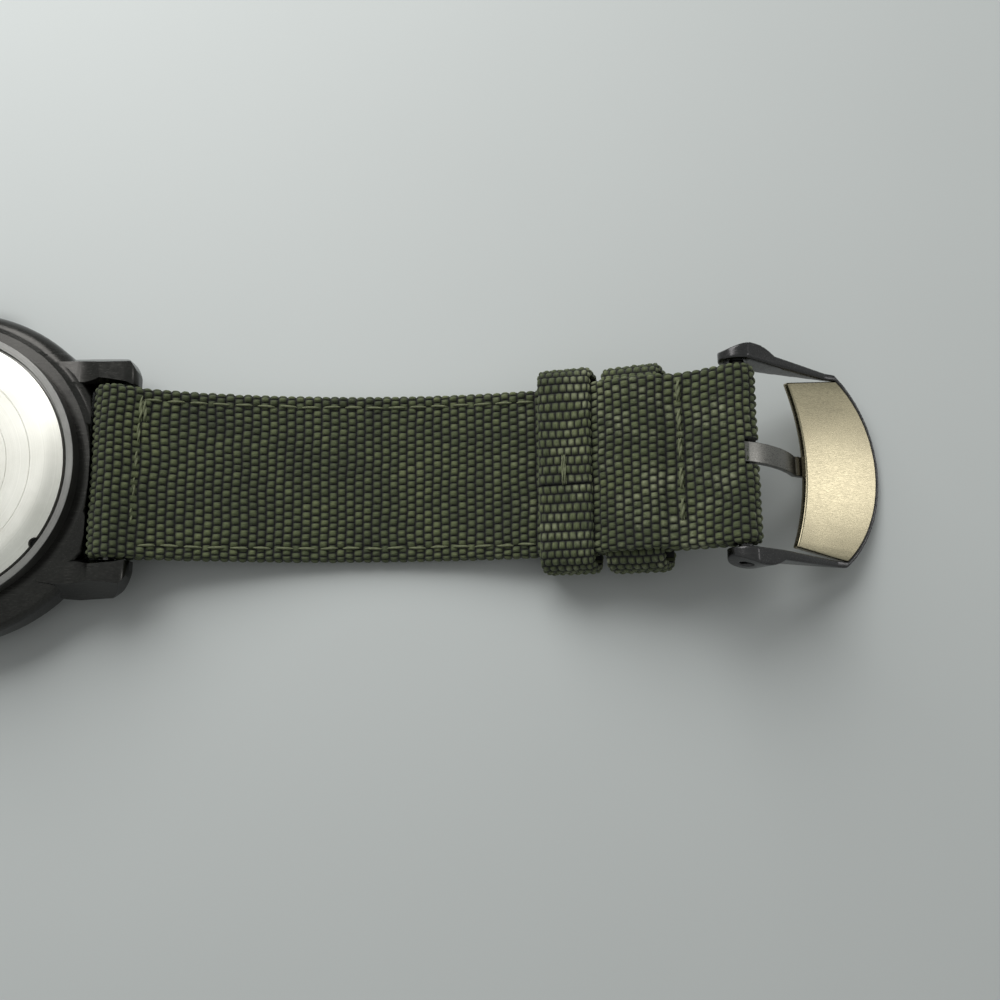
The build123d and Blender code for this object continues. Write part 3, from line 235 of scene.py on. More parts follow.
# The webbing, in millimetres: a rib is one float long, a thread one float wide,
# and relief is how far a float stands out
web = {"width": 19.8, "layer": 1.1, "rib": 1.04, "thread": 0.89, "relief": 0.34, "swell": 0.55,
       "round": 0.7, "edgeRun": 1.6, "edgeShare": 0.55, "weld": 0.01, "spread": 0.08, "wander": 0.09,
       "drift": (0.21, 0.34), "uneven": (0.9, 1.1)}
fabricLook = {"dark": "#262c19", "middle": "#495133", "light": "#666c48", "worn": "#8f9377",
              "roughness": 0.85, "sheen": 0.08, "rib": web["rib"], "thread": web["thread"],
              "wornFrom": 58.0, "wornTo": 74.0}
materials = {
    # dark coating over brushed steel: the scratches stay visible through it
    "coated_case": brushedMetal("coated_brushed_steel", "#302f2e", "#3e3d3b", 0.23,
                                {"scratches": (0.8, 7.0, 9.0), "patches": 0.2, "strength": 0.12}),
    "coated_buckle": brushedMetal("coated_satin_steel", "#3b3a3b", "#454444", 0.24,
                                  {"scratches": (1.5, 7.0, 7.0), "patches": 0.2, "strength": 0.06}),
    # stainless steel, satin from a fine belt
    "satin_steel": turnedMetal("satin_turned_steel", "#696866", "#7b7a77", 0.38,
                               {"rings": 9.0, "grain": 9.0, "strength": 0.3}),
    "case_back_steel": turnedMetal("turned_back_steel", "#bfbdb5", "#d1cfc8", 0.37,
                                   {"rings": 7.0, "grain": 7.0, "strength": 0.35}),
    # the plate has a warm tint, brushed across the strap
    "plate_steel": brushedMetal("warm_brushed_steel", "#877f6b", "#9c937b", 0.25,
                                {"scratches": (1.6, 12.0, 3.0), "patches": 0.12, "strength": 0.06}),
    # the tongue's coating is thinner, so more of the brushed steel shows
    "tongue_steel": brushedMetal("thin_coated_steel", "#62605d", "#767470", 0.3,
                                 {"scratches": (1.0, 7.0, 7.0), "patches": 0.25, "strength": 0.15}),
    "battery_steel": plainFinish("nickel_plated_steel", "#b8b8b6", "#cccccb", 1.0, 0.25, 4.0),
    "soft_iron": plainFinish("annealed_iron", "#77777a", "#88888b", 1.0, 0.42, 5.0),
    "magnet": plainFinish("sintered_magnet", "#4b4b50", "#5d5d62", 1.0, 0.5, 9.0),
    "plated_brass": plainFinish("nickel_plated_brass", "#b9ad8e", "#cfc6ad", 1.0, 0.32, 5.0),
    "gear_brass": plainFinish("cut_brass", "#b8933f", "#d0ad5c", 1.0, 0.3, 7.0),
    "copper_wire": plainFinish("enamelled_copper_wire", "#8a3f1c", "#a8552a", 0.9, 0.35, 8.0),
    "crystal": clearGlass("mineral_glass"),
    "seal": plainFinish("nitrile_rubber", "#151515", "#1f1f1f", 0.0, 0.7, 6.0),
    "dial_black": plainFinish("matt_dial_paint", "#0f1010", "#171817", 0.0, 0.6, 9.0),
    "hand_white": plainFinish("luminous_paint", "#d9dcc6", "#e6e8d6", 0.0, 0.6, 9.0),
    "hand_orange": plainFinish("gloss_hand_paint", "#c8541a", "#d4622a", 0.0, 0.3, 6.0),
    "holder_plastic": plainFinish("moulded_acetal", "#8d8f90", "#9b9d9e", 0.0, 0.45, 3.0),
    "board": plainFinish("solder_mask", "#12402a", "#1b5235", 0.0, 0.35, 3.0),
    "woven_strap": wovenNylon("woven_olive_nylon", fabricLook),
    "woven_keeper": wovenNylon("woven_keeper_nylon", {**fabricLook, "thread": 0.8}),
    "stitching": plainFinish("polyester_thread", "#585e44", "#757a5c", 0.0, 0.8, 3.0),
}
slotOf = {row["node"]: row["material_slot"] for row in frame["record"]["subparts"]}
bodyOf = {node: body for body, nodes in frame["record"]["behaviour"]["bodies"].items() for node in nodes}
for nodeName, node in frame["nodes"].items():
    node.data.materials.clear()
    node.data.materials.append(materials[slotOf[nodeName]])
print("materials made:", len(materials))


def newMesh(name, points, edges=(), faces=()):
    mesh = bpy.data.meshes.new(name)
    mesh.from_pydata([Vector(point) for point in points], list(edges), list(faces))
    piece = bpy.data.objects.new(name, mesh)
    bpy.context.scene.collection.objects.link(piece)
    return piece


def addModifier(piece, kind, **settings):
    modifier = piece.modifiers.new(kind.lower(), kind)
    for name, value in settings.items():
        setattr(modifier, name, value)
    selectOnly(piece)
    bpy.ops.object.modifier_apply(modifier=modifier.name)


# Gives a piece its material, shading and body, and the CAD nodes it stands in for
def finishPiece(piece, body, slot, replaced=(), smooth=30, material=None):
    selectOnly(piece)
    piece.data.materials.clear()
    piece.data.materials.append(materials[material or slot])
    bpy.ops.object.shade_smooth_by_angle(angle=math.radians(smooth))
    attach(piece, body)
    if replaced:
        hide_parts(*replaced)


def faceOutwards(piece):
    selectOnly(piece)
    bpy.ops.object.mode_set(mode="EDIT")
    bpy.ops.mesh.select_all(action="SELECT")
    bpy.ops.mesh.remove_doubles(threshold=1e-7)
    bpy.ops.mesh.normals_make_consistent(inside=False)
    bpy.ops.object.mode_set(mode="OBJECT")


# A piece turned round the watch's axis from a closed profile in millimetres
def turnPiece(name, profile, steps=240):
    count = len(profile)
    piece = newMesh(name, [(radius * mm, 0, height * mm) for radius, height in profile],
                    [(i, (i + 1) % count) for i in range(count)])
    addModifier(piece, "SCREW", angle=math.tau, steps=steps, render_steps=steps, use_merge_vertices=True,
                merge_threshold=1e-7, use_smooth_shade=True)
    faceOutwards(piece)
    return piece


# A solid over an outline, for cutting with; the outline lies across one axis
def makePrism(name, outline, low, high, axis="Z"):
    order = {"Z": (0, 1, 2), "X": (2, 0, 1), "Y": (0, 2, 1)}[axis]
    count = len(outline)
    points = [[(a, b, level)[i] for i in order] for level in (low, high) for a, b in outline]
    walls = [(i, (i + 1) % count, count + (i + 1) % count, count + i) for i in range(count)]
    piece = newMesh(name, points, faces=[tuple(range(count)), tuple(range(count, 2 * count))] + walls)
    faceOutwards(piece)
    return piece


def joinPieces(pieces):
    if len(pieces) > 1:
        selectOnly(*pieces)
        bpy.context.view_layer.objects.active = pieces[0]
        bpy.ops.object.join()
    return pieces[0]


def cutPiece(piece, cutter, keepCutter=False):
    addModifier(piece, "BOOLEAN", object=cutter, operation="DIFFERENCE", solver="EXACT")
    if not keepCutter:
        bpy.data.objects.remove(cutter)


# Welds points nearer than the reach, and makes flat faces whole again
def weldPiece(piece, reach):
    selectOnly(piece)
    bpy.ops.object.mode_set(mode="EDIT")
    bpy.ops.mesh.select_all(action="SELECT")
    bpy.ops.mesh.remove_doubles(threshold=reach)
    bpy.ops.mesh.dissolve_limited(angle_limit=math.radians(0.6))
    bpy.ops.object.mode_set(mode="OBJECT")


# A copy of a rigid piece's own mesh
def copyPiece(node):
    piece = bpy.data.objects.new(node + "_finished", frame["nodes"][node].data.copy())
    bpy.context.scene.collection.objects.link(piece)
    weldPiece(piece, 1e-6)
    return piece


# Sharp edges are broken, as tumbling leaves them
def roundEdges(piece, edge):
    addModifier(piece, "BEVEL", width=edge * mm, segments=2, limit_method="ANGLE",
                angle_limit=math.radians(32), use_clamp_overlap=True, miter_outer="MITER_ARC")


# Large faces set the shading beside a broken edge, so that they stay flat
def keepFlats(piece):
    addModifier(piece, "WEIGHTED_NORMAL", weight=80, keep_sharp=True)


def breakEdges(node, edge, material=None):
    piece = copyPiece(node)
    roundEdges(piece, edge)
    finishPiece(piece, bodyOf[node], slotOf[node], [node], 35, material)
    keepFlats(piece)


# Camera, at the place from which the case rings, strap edges and buckle fall
# where the picture has them, with the focal length in pixels of a square frame
view = {"aimX": 62.73, "aimY": -2.47, "distance": 127.9, "height": 79.12, "turn": -1.03,
        "roll": 0.44, "focal": 1082.0, "frame": 1000.0, "sensor": 36.0}


def placeCamera():
    height, turn, roll = (math.radians(view[name]) for name in ("height", "turn", "roll"))
    back = Vector((math.sin(turn) * math.cos(height), -math.cos(turn) * math.cos(height),
                   math.sin(height)))
    level = Vector((math.cos(turn), math.sin(turn), 0))
    upright = level.cross(-back)
    right = math.cos(roll) * level + math.sin(roll) * upright
    up = math.cos(roll) * upright - math.sin(roll) * level
    place = (Vector((view["aimX"], view["aimY"], 0)) + back * view["distance"]) * mm
    lens = bpy.data.cameras.new("camera")
    lens.sensor_width = view["sensor"]
    lens.lens = view["focal"] * view["sensor"] / view["frame"]
    lens.clip_start = 0.005
    camera = bpy.data.objects.new("camera", lens)
    camera.matrix_world = Matrix.Translation(place) @ Matrix((right, up, back)).transposed().to_4x4()
    bpy.context.scene.collection.objects.link(camera)
    bpy.context.scene.camera = camera


# Floor and light: a pale table under a large soft window, in a room that is
# darker low down on the near side, and a card beyond the buckle
studio = {"floor": "#c9cecc", "floorSecond": "#c5cac8", "backdrop": "#c9cecc",
          "roomDark": 0.12, "roomLight": 0.36, "roomBright": (-0.25, 0.45, 0.86),
          "window_lamp": {"place": (-0.06, 0.225, 0.205), "aim": (0.03, 0.03, 0.0),
                          "power": 1.02, "size": 0.27},
          "card_lamp": {"place": (0.52, 0.078, 0.125), "aim": (0.10, 0.0, 0.005),
                        "power": 0.085, "size": 0.06}}


def lightStudio():
    scene = bpy.context.scene
    scene.view_settings.view_transform = "Standard"
    world = bpy.data.worlds.new("room")
    scene.world = world
    world.use_nodes = True
    tree = world.node_tree
    ray = addNode(tree, "LightPath")
    seen = addNode(tree, "Background", {"Color": linearColour(studio["backdrop"]), "Strength": 1.0})
    around = addNode(tree, "TexCoord").outputs["Generated"]
    way = addNode(tree, "VectorMath", {"operation": "DOT_PRODUCT", 1: studio["roomBright"]}, {0: around})
    level = addNode(tree, "MapRange", {"From Min": -0.4, "From Max": 1.0, "To Min": studio["roomDark"],
                                       "To Max": studio["roomLight"]}, {"Value": way.outputs["Value"]})
    lit = tree.nodes["Background"]
    lit.inputs["Color"].default_value = linearColour("#ffffff")
    tree.links.new(level.outputs["Result"], lit.inputs["Strength"])
    shiny = addNode(tree, "Math", {"operation": "MAXIMUM"}, {0: ray.outputs["Is Glossy Ray"],
                                                             1: ray.outputs["Is Transmission Ray"]})
    direct = addNode(tree, "Math", {"operation": "MAXIMUM"}, {0: ray.outputs["Is Camera Ray"],
                                                              1: shiny.outputs[0]})
    mixed = addNode(tree, "MixShader", links={0: direct.outputs[0], 1: lit.outputs[0], 2: seen.outputs[0]})
    tree.links.new(mixed.outputs[0], tree.nodes["World Output"].inputs["Surface"])
    for name in ("window_lamp", "card_lamp"):
        settings = studio[name]
        lamp = bpy.data.lights.new(name, "AREA")
        lamp.energy = settings["power"]
        lamp.size = settings["size"]
        holder = bpy.data.objects.new(name, lamp)
        holder.location = settings["place"]
        aim = Vector(settings["aim"]) - Vector(settings["place"])
        holder.rotation_euler = aim.to_track_quat("-Z", "Y").to_euler()
        holder.visible_camera = False
        scene.collection.objects.link(holder)
    selectOnly()
    bpy.ops.mesh.primitive_plane_add(size=4.0, location=(0, 0, -0.02 * mm))
    floor = bpy.context.object
    floor.name = "floor"
    material, tree, shader = startMaterial("pale_table", studio["floor"], 0.0, 0.6)
    place = addNode(tree, "TexCoord").outputs["Object"]
    mottle = addNode(tree, "TexNoise", {"Scale": 9.0, "Detail": 5.0}, {"Vector": place})
    tree.links.new(rampBetween(tree, mottle.outputs["Fac"], [(0.3, studio["floor"]),
                                                             (0.7, studio["floorSecond"])]),
                   shader.inputs["Base Color"])
    floor.data.materials.append(material)


placeCamera()
lightStudio()
print("camera and light placed")


# The lugs taper towards the back: their flanks slope in, and each is dished
# between the shoulder and a bright facet at the tip
lugs = {"facetY": 12.45, "flankY": 14.4, "flankLow": 3.0, "top": 8.0, "clear": 1.0, "bodyRadius": 19.23,
        "rootX": 8.0, "reach": 22.0, "inside": 10.0, "outside": 16.0, "dishX": 14.6, "dishRadius": 6.0,
        "dishDeep": 0.75, "shoulderRadius": 17.55, "shoulderDrop": 0.45, "landRadius": 17.05, "waist": 5.35,
        "low": 1.0, "skin": 0.02, "innerY": 10.65, "innerLow": 6.9, "edge": 0.13}


def addCylinder(radius, depth, place, vertices, axis="Z"):
    selectOnly()
    turn = {"Z": (0, 0, 0), "Y": (math.pi / 2, 0, 0)}[axis]
    bpy.ops.mesh.primitive_cylinder_add(vertices=vertices, radius=radius * mm, depth=depth * mm,
                                        location=Vector(place) * mm, rotation=turn)
    selectOnly(bpy.context.object)
    bpy.ops.object.transform_apply(location=True, rotation=True, scale=True)
    return bpy.context.object


# The case's own body, which the lug cutters leave alone
def turnCaseGuard():
    top, skin = lugs["top"], lugs["skin"]
    drop, run = lugs["shoulderDrop"], lugs["bodyRadius"] - skin - lugs["shoulderRadius"]
    rise = top - drop - lugs["waist"]
    bend = (run ** 2 + rise ** 2) / (2 * run)
    centre = lugs["bodyRadius"] - skin - bend
    end = math.asin(rise / bend)
    arc = [(centre + (bend + skin) * math.cos(a), lugs["waist"] + (bend + skin) * math.sin(a))
           for a in np.linspace(0, end, 16)]
    return turnPiece("case_guard", [(0, lugs["low"]), (lugs["bodyRadius"], lugs["low"])] + arc
                     + [(lugs["landRadius"] + skin, top + skin), (0, top + skin)])


def finishCase():
    case = copyPiece("case_middle")
    top, clear = lugs["top"], lugs["clear"]
    slope = (lugs["flankY"] - lugs["facetY"]) / (top - lugs["flankLow"])
    lean = (lugs["innerY"] - lugs["inside"]) / (top - lugs["innerLow"])
    flanks, dishes = [], []
    for sideX in (1, -1):
        for sideY in (1, -1):
            outer = [(lugs["flankY"], lugs["flankLow"]), (lugs["outside"], lugs["flankLow"]),
                     (lugs["outside"], top + clear), (lugs["facetY"] - slope * clear, top + clear)]
            inner = [(lugs["inside"], lugs["innerLow"]), (lugs["innerY"] + lean * clear, top + clear),
                     (lugs["inside"], top + clear)]
            for outline in (outer, inner):
                flanks.append(makePrism("lug_cutter", [(sideY * y * mm, z * mm) for y, z in outline],
                                        sideX * lugs["rootX"] * mm, sideX * lugs["reach"] * mm, "X"))
            dishes.append(addCylinder(lugs["dishRadius"], lugs["outside"] - lugs["inside"] + clear,
                                      (sideX * lugs["dishX"], sideY * (lugs["outside"] + lugs["inside"]) / 2,
                                       top + lugs["dishRadius"] - lugs["dishDeep"]), 160, "Y"))
    guard = turnCaseGuard()
    for cutters in (flanks, dishes):
        cutter = joinPieces(cutters)
        cutPiece(cutter, guard, keepCutter=True)
        cutPiece(case, cutter)
    bpy.data.objects.remove(guard)
    weldPiece(case, 1.5 * lugs["skin"] * mm)
    roundEdges(case, lugs["edge"])
    finishPiece(case, bodyOf["case_middle"], slotOf["case_middle"], ["case_middle"], 28)
    keepFlats(case)


finishCase()
print("case finished")

# Case back: flat field with two turned grooves, sloped rim and pry notch
backShape = {"low": 9.25, "rimLow": 9.78, "top": 10.18, "edge": 14.78, "grooves": (11.35, 8.8),
             "grooveWidth": 0.12, "grooveDeep": 0.05, "notchRadius": 0.7, "notchDeep": 0.4, "notchAngle": 325,
             "roll": ((13.6, 10.04), (13.2, 10.115), (12.8, 10.16), (12.4, 10.18))}


def turnCaseBack():
    shape = backShape
    profile = [(0, shape["low"]), (shape["edge"], shape["low"]), (shape["edge"], shape["rimLow"])]
    profile += shape["roll"]
    for radius in shape["grooves"]:
        half = shape["grooveWidth"] / 2
        profile += [(radius + half, shape["top"]), (radius + half / 2, shape["top"] - shape["grooveDeep"]),
                    (radius - half / 2, shape["top"] - shape["grooveDeep"]), (radius - half, shape["top"])]
    profile.append((0, shape["top"]))
    back = turnPiece("case_back_finished", profile)
    angle = math.radians(shape["notchAngle"])
    reach = shape["edge"] + shape["notchRadius"] - shape["notchDeep"]
    notchPlace = (math.cos(angle) * reach, math.sin(angle) * reach, shape["top"])
    cutPiece(back, addCylinder(shape["notchRadius"], 2.0, notchPlace, 48))
    finishPiece(back, bodyOf["case_back"], slotOf["case_back"], ["case_back"], 9)


turnCaseBack()
# how far each rigid piece's edges are broken
brokenEdges = {"case_liner": 0.08, "bezel": 0.12, "crown": 0.08, "crystal": 0.1, "hour_hand": 0.04,
               "minute_hand": 0.04}
for nodeName, edge in brokenEdges.items():
    breakEdges(nodeName, edge)
breakEdges("buckle_tongue", 0.12, "tongue_steel")
print("metal edges broken")

# Buckle: the frame is a casting, tumbled until all its edges are round; the
# plate's face bows a little from end to end
buckleShape = {"grain": 0.11, "tumbles": 7, "plateEdge": 0.2, "plateBow": 0.22, "plateCuts": 15}


def finishBuckle():
    casting = copyPiece("buckle_frame")
    addModifier(casting, "REMESH", mode="VOXEL", voxel_size=buckleShape["grain"] * mm, adaptivity=0.0)
    addModifier(casting, "SMOOTH", factor=0.5, iterations=buckleShape["tumbles"])
    finishPiece(casting, bodyOf["buckle_frame"], slotOf["buckle_frame"], ["buckle_frame"], 60)
    plate = copyPiece("buckle_plate")
    roundEdges(plate, buckleShape["plateEdge"])
    selectOnly(plate)
    bpy.ops.object.mode_set(mode="EDIT")
    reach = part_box("buckle_plate")[1][1]
    for y in np.linspace(-reach, reach, buckleShape["plateCuts"] + 2)[1:-1]:
        bpy.ops.mesh.select_all(action="SELECT")
        bpy.ops.mesh.bisect(plane_co=(0, y, 0), plane_no=(0, 1, 0), threshold=1e-6)
    bpy.ops.object.mode_set(mode="OBJECT")
    for vertex in plate.data.vertices:
        vertex.co.z -= buckleShape["plateBow"] * mm * (vertex.co.y / reach) ** 2
    finishPiece(plate, bodyOf["buckle_plate"], slotOf["buckle_plate"], ["buckle_plate"], 35)
    keepFlats(plate)


finishBuckle()
print("buckle finished")

# Dial print: plain numerals, a minute track and a luminous dot at each hour,
# with twelve at the buckle side and three at the crown
dialPrint = {"numeralRadius": 9.9, "numeralSize": 3.1, "innerRadius": 6.6, "innerSize": 1.2,
             "trackFrom": 12.5, "trackTo": 13.1, "tick": 0.12, "hourTick": 0.3, "dotRadius": 0.34,
             "dotAt": 11.95, "raised": 0.03}


def printDial():
    face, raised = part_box("dial")[0][2] / mm, dialPrint["raised"]
    parts = []
    # turns what is written along x and up y to read from the dial's side
    toDial = Matrix(((0, 1, 0), (1, 0, 0), (0, 0, -1))).to_4x4()
    for hour in range(1, 13):
        angle = math.radians(30 * hour)
        across, up = math.cos(angle), math.sin(angle)
        for number, radius, size in ((hour, dialPrint["numeralRadius"], dialPrint["numeralSize"]),
                                     (hour + 12, dialPrint["innerRadius"], dialPrint["innerSize"])):
            selectOnly()
            bpy.ops.object.text_add()
            text = bpy.context.object
            text.data.body = str(number)
            text.data.size = size * mm
            text.data.extrude = raised / 2 * mm
            text.data.resolution_u = 4
            text.data.align_x, text.data.align_y = "CENTER", "CENTER"
            selectOnly(text)
            bpy.ops.object.convert(target="MESH")
            text = bpy.context.object
            place = (radius * across * mm, radius * up * mm, (face - raised / 2) * mm)
            text.data.transform(Matrix.Translation(place) @ toDial)
            parts.append(text)
        parts.append(addCylinder(dialPrint["dotRadius"], 2 * raised,
                                 (dialPrint["dotAt"] * across, dialPrint["dotAt"] * up, face - raised), 20))
    start, end = dialPrint["trackFrom"], dialPrint["trackTo"]
    for minute in range(60):
        wide = dialPrint["hourTick" if minute % 5 == 0 else "tick"] / 2
        corners = ((start, -wide), (end, -wide), (end, wide), (start, wide))
        tick = makePrism("tick", [(x * mm, y * mm) for x, y in corners], (face - raised) * mm, face * mm)
        tick.data.transform(Matrix.Rotation(math.radians(6 * minute), 4, "Z"))
        parts.append(tick)
    printed = joinPieces(parts)
    printed.name = printed.data.name = "dial_print"
    faceOutwards(printed)
    finishPiece(printed, bodyOf["dial"], "hand_white")


printDial()
print("dial printed")

# The strap lies along two arcs that just touch the table. A half is modelled
# straight, x along it from the arc's lowest point, y across and z up from the
# table side, and then bent to its arc
bar = Vector(joints["buckle_strap_swing"]["pos_m"]) / mm
pivot = Vector(joints["buckle_swing"]["pos_m"]) / mm
halves = {"buckle": {"side": 1, "radius": 86.0, "cells": (6, 6), "sewnTo": 62.0},
          "tail": {"side": -1, "radius": 105.0, "cells": (5, 4), "sewnTo": math.inf}}
for half in halves.values():
    middle = half["radius"] - web["layer"]
    half["centreX"] = bar.x + math.sqrt(middle ** 2 - (half["radius"] - bar.z) ** 2)
    half["barX"] = -half["radius"] * math.asin((half["centreX"] - bar.x) / middle)


def alongStrap(half, reach):
    return half["radius"] * math.asin((reach - half["centreX"]) / half["radius"])


def readPlaces(mesh):
    places = np.empty(len(mesh.vertices) * 3)
    mesh.vertices.foreach_get("co", places)
    return places.reshape(-1, 3)


def writePlaces(mesh, places):
    mesh.vertices.foreach_set("co", places.ravel())
    mesh.update()


def bendToArc(piece, half):
    place = readPlaces(piece.data)
    angle = place[:, 0] / half["radius"]
    arm = half["radius"] - place[:, 2]
    bent = np.stack([half["side"] * (half["centreX"] + arm * np.sin(angle)),
                     half["side"] * place[:, 1], half["radius"] - arm * np.cos(angle)], axis=1)
    writePlaces(piece.data, bent * mm)


# One float of thread: a pebble, round in both directions
def modelFloat(rib, thread, cells):
    selectOnly()
    bpy.ops.mesh.primitive_grid_add(x_subdivisions=cells[0], y_subdivisions=cells[1], size=1)
    pebble = bpy.context.object
    pebble.data.transform(Matrix.Diagonal((rib, thread, 1, 1)) @ Matrix.Translation((0.5, 0.5, 0)))
    for vertex in pebble.data.vertices:
        swell = math.sin(math.pi * vertex.co.x / rib) * math.sin(math.pi * vertex.co.y / thread)
        vertex.co.z = web["relief"] * max(0, swell) ** web["swell"]
    return pebble


def repeatPiece(piece, count, step):
    addModifier(piece, "ARRAY", count=count, use_relative_offset=False, use_constant_offset=True,
                constant_offset_displace=step, use_merge_vertices=True, merge_threshold=web["weld"])


# A flat web: ribs of floats side by side, every other rib half a float over
def modelWeb(name, length, across, cells):
    ribCount = 2 * max(1, round(length / web["rib"] / 2))
    threadCount = max(2, round(across / web["thread"]))
    rib, thread = length / ribCount, across / threadCount
    first = modelFloat(rib, thread, cells)
    selectOnly(first)
    bpy.ops.object.duplicate()
    second = bpy.context.object
    second.data.transform(Matrix.Translation((rib, -thread / 2, 0)))
    repeatPiece(first, threadCount, (0, thread, 0))
    repeatPiece(second, threadCount + 1, (0, thread, 0))
    selectOnly(second)
    bpy.ops.object.mode_set(mode="EDIT")
    for edge, outwards in ((0, -1), (across, 1)):
        bpy.ops.mesh.select_all(action="SELECT")
        bpy.ops.mesh.bisect(plane_co=(0, edge, 0), plane_no=(0, outwards, 0), clear_outer=True,
                            threshold=0.001)
    bpy.ops.object.mode_set(mode="OBJECT")
    selectOnly(second, first)
    bpy.ops.object.join()
    repeatPiece(first, ribCount // 2, (2 * rib, 0, 0))
    selectOnly(first)
    bpy.ops.object.mode_set(mode="EDIT")
    bpy.ops.mesh.select_all(action="SELECT")
    bpy.ops.mesh.remove_doubles(threshold=web["weld"])
    bpy.ops.object.mode_set(mode="OBJECT")
    first.name = first.data.name = name
    return first, rib, thread


# The web's flat place becomes its UV map, and its height an attribute, which the fabric's colour reads for wear
# and for painted groove shade
def recordWeb(piece, rib, thread):
    mesh = piece.data
    place = readPlaces(mesh)
    rise = mesh.attributes.new("rise", "FLOAT", "POINT")
    rise.data.foreach_set("value", (place[:, 2] / web["relief"]).astype(np.float32))
    layer = mesh.uv_layers.new(name="web")
    corner = np.empty(len(mesh.loops), int)
    mesh.loops.foreach_get("vertex_index", corner)
    scaled = place[corner][:, :2] * [web["rib"] / rib, web["thread"] / thread]
    layer.data.foreach_set("uv", scaled.ravel())


# Closes the web underneath and at its two ends
def closeWeb(piece, length, across):
    shape = bmesh.new()
    shape.from_mesh(piece.data)
    weld = web["weld"]
    near = sorted([v for v in shape.verts if v.co.y < weld], key=lambda v: v.co.x)
    far = sorted([v for v in shape.verts if v.co.y > across - weld], key=lambda v: v.co.x)
    for i in range(len(near) - 1):
        shape.faces.new([near[i + 1], near[i], far[i], far[i + 1]])
    start = sorted([v for v in shape.verts if v.co.x < weld], key=lambda v: v.co.y)
    end = sorted([v for v in shape.verts if v.co.x > length - weld], key=lambda v: v.co.y)
    shape.faces.new(start)
    shape.faces.new(list(reversed(end)))
    shape.to_mesh(piece.data)
    shape.free()


def measurePath(points):
    points = np.array(points, float)
    steps = np.hypot(*np.diff(points, axis=0).T)
    return points, np.concatenate([[0], np.cumsum(steps)])


# Where a path is at a distance along it, and its left-hand normal there
def followPath(points, reach, distance):
    def placeAt(shift):
        return np.stack([np.interp(distance + shift, reach, points[:, i]) for i in (0, 1)], axis=1)
    way = placeAt(web["spread"]) - placeAt(-web["spread"])
    way /= np.hypot(way[:, 0], way[:, 1])[:, None]
    return placeAt(0), np.stack([-way[:, 1], way[:, 0]], axis=1)


# The web's section, from one edge's foot over its face to the other's
def sectionPath(width, thickness):
    half, bend = width / 2, web["round"]
    turn = [(math.sin(a) * bend, math.cos(a) * bend) for a in np.linspace(0, math.pi / 2, 7)]
    right = [(half - bend + x, z - bend) for x, z in turn] + [(half, -thickness)]
    return [(-x, z) for x, z in reversed(right)] + right


# the threads wander the same way each run
noise.seed_set(11)


# Lays a flat web along a route of (along, up) points, with the web's outside up.
# A keeper's route is (across, up) points, and its web's middle lies at keeperX
def layWeb(name, route, width, thickness, cells, dent=None, keeperX=None):
    route, routeReach = measurePath(route)
    section, sectionReach = measurePath(sectionPath(width, thickness))
    length, across = routeReach[-1], sectionReach[-1]
    piece, rib, thread = modelWeb(name, length, across, cells)
    recordWeb(piece, rib, thread)
    closeWeb(piece, length, across)
    s, t, rise = readPlaces(piece.data).T
    # threads wander over a few floats and stand unevenly, but not at the web's edges
    wander, (driftS, driftT), (fineS, fineT) = web["wander"], web["drift"], web["uneven"]
    drift = np.array([noise.noise_vector((a * driftS, b * driftT, length)) for a, b in zip(s, t)])
    fine = np.array([noise.noise((a * fineS, b * fineT, across)) for a, b in zip(s, t)])
    inside = np.minimum(1, np.minimum(s, length - s)) * np.minimum(1, np.minimum(t, across - t))
    s = s + drift[:, 0] * wander * 2 * inside
    t = t + drift[:, 1] * wander * 2 * inside
    edgeway = np.clip((across / 2 - np.abs(t - across / 2)) / web["edgeRun"], 0, 1)
    rise = (rise - web["relief"]) * (web["edgeShare"] + (1 - web["edgeShare"]) * edgeway)
    rise = rise + (fine - 0.1) * wander * inside
    if dent:
        rise = rise - dent(s, t - across / 2)
    cross, sectionNormal = followPath(section, sectionReach, t)
    run, routeNormal = followPath(route, routeReach, s)
    lift = cross[:, 1] + sectionNormal[:, 1] * rise
    side = cross[:, 0] + sectionNormal[:, 0] * rise
    run = run + routeNormal * lift[:, None]
    if keeperX is None:
        final = np.stack([run[:, 0], side, run[:, 1]], axis=1)
    else:
        final = np.stack([keeperX - side, run[:, 0], run[:, 1]], axis=1)
    writePlaces(piece.data, final)
    return piece


def arcRun(centreX, centreZ, radius, start, end, steps):
    return [(centreX + radius * math.cos(a), centreZ + radius * math.sin(a))
            for a in np.linspace(math.radians(start), math.radians(end), steps)]


# Rounds the corners of a route, as cloth does
def easeRoute(points, passes):
    for _ in range(passes):
        eased = [points[0]]
        for (x0, z0), (x1, z1) in zip(points, points[1:]):
            eased += [(0.75 * x0 + 0.25 * x1, 0.75 * z0 + 0.25 * z1),
                      (0.25 * x0 + 0.75 * x1, 0.25 * z0 + 0.75 * z1)]
        points = eased + [points[-1]]
    return points


# Cut edges are sealed with heat: they carry the web's attributes, so that they take its colour, with a middling
# share of the painted groove shade
def makeCutter(outline, low, high, axis="Z"):
    cutter = makePrism("cutter", outline, low, high, axis)
    sealed = cutter.data.attributes.new("rise", "FLOAT", "POINT")
    sealed.data.foreach_set("value", [0.5] * len(cutter.data.vertices))
    cutter.data.uv_layers.new(name="web")
    return cutter


def circleOutline(x, y, radius, count=24):
    return [(x + radius * math.cos(a), y + radius * math.sin(a))
            for a in np.linspace(0, math.tau, count, endpoint=False)]


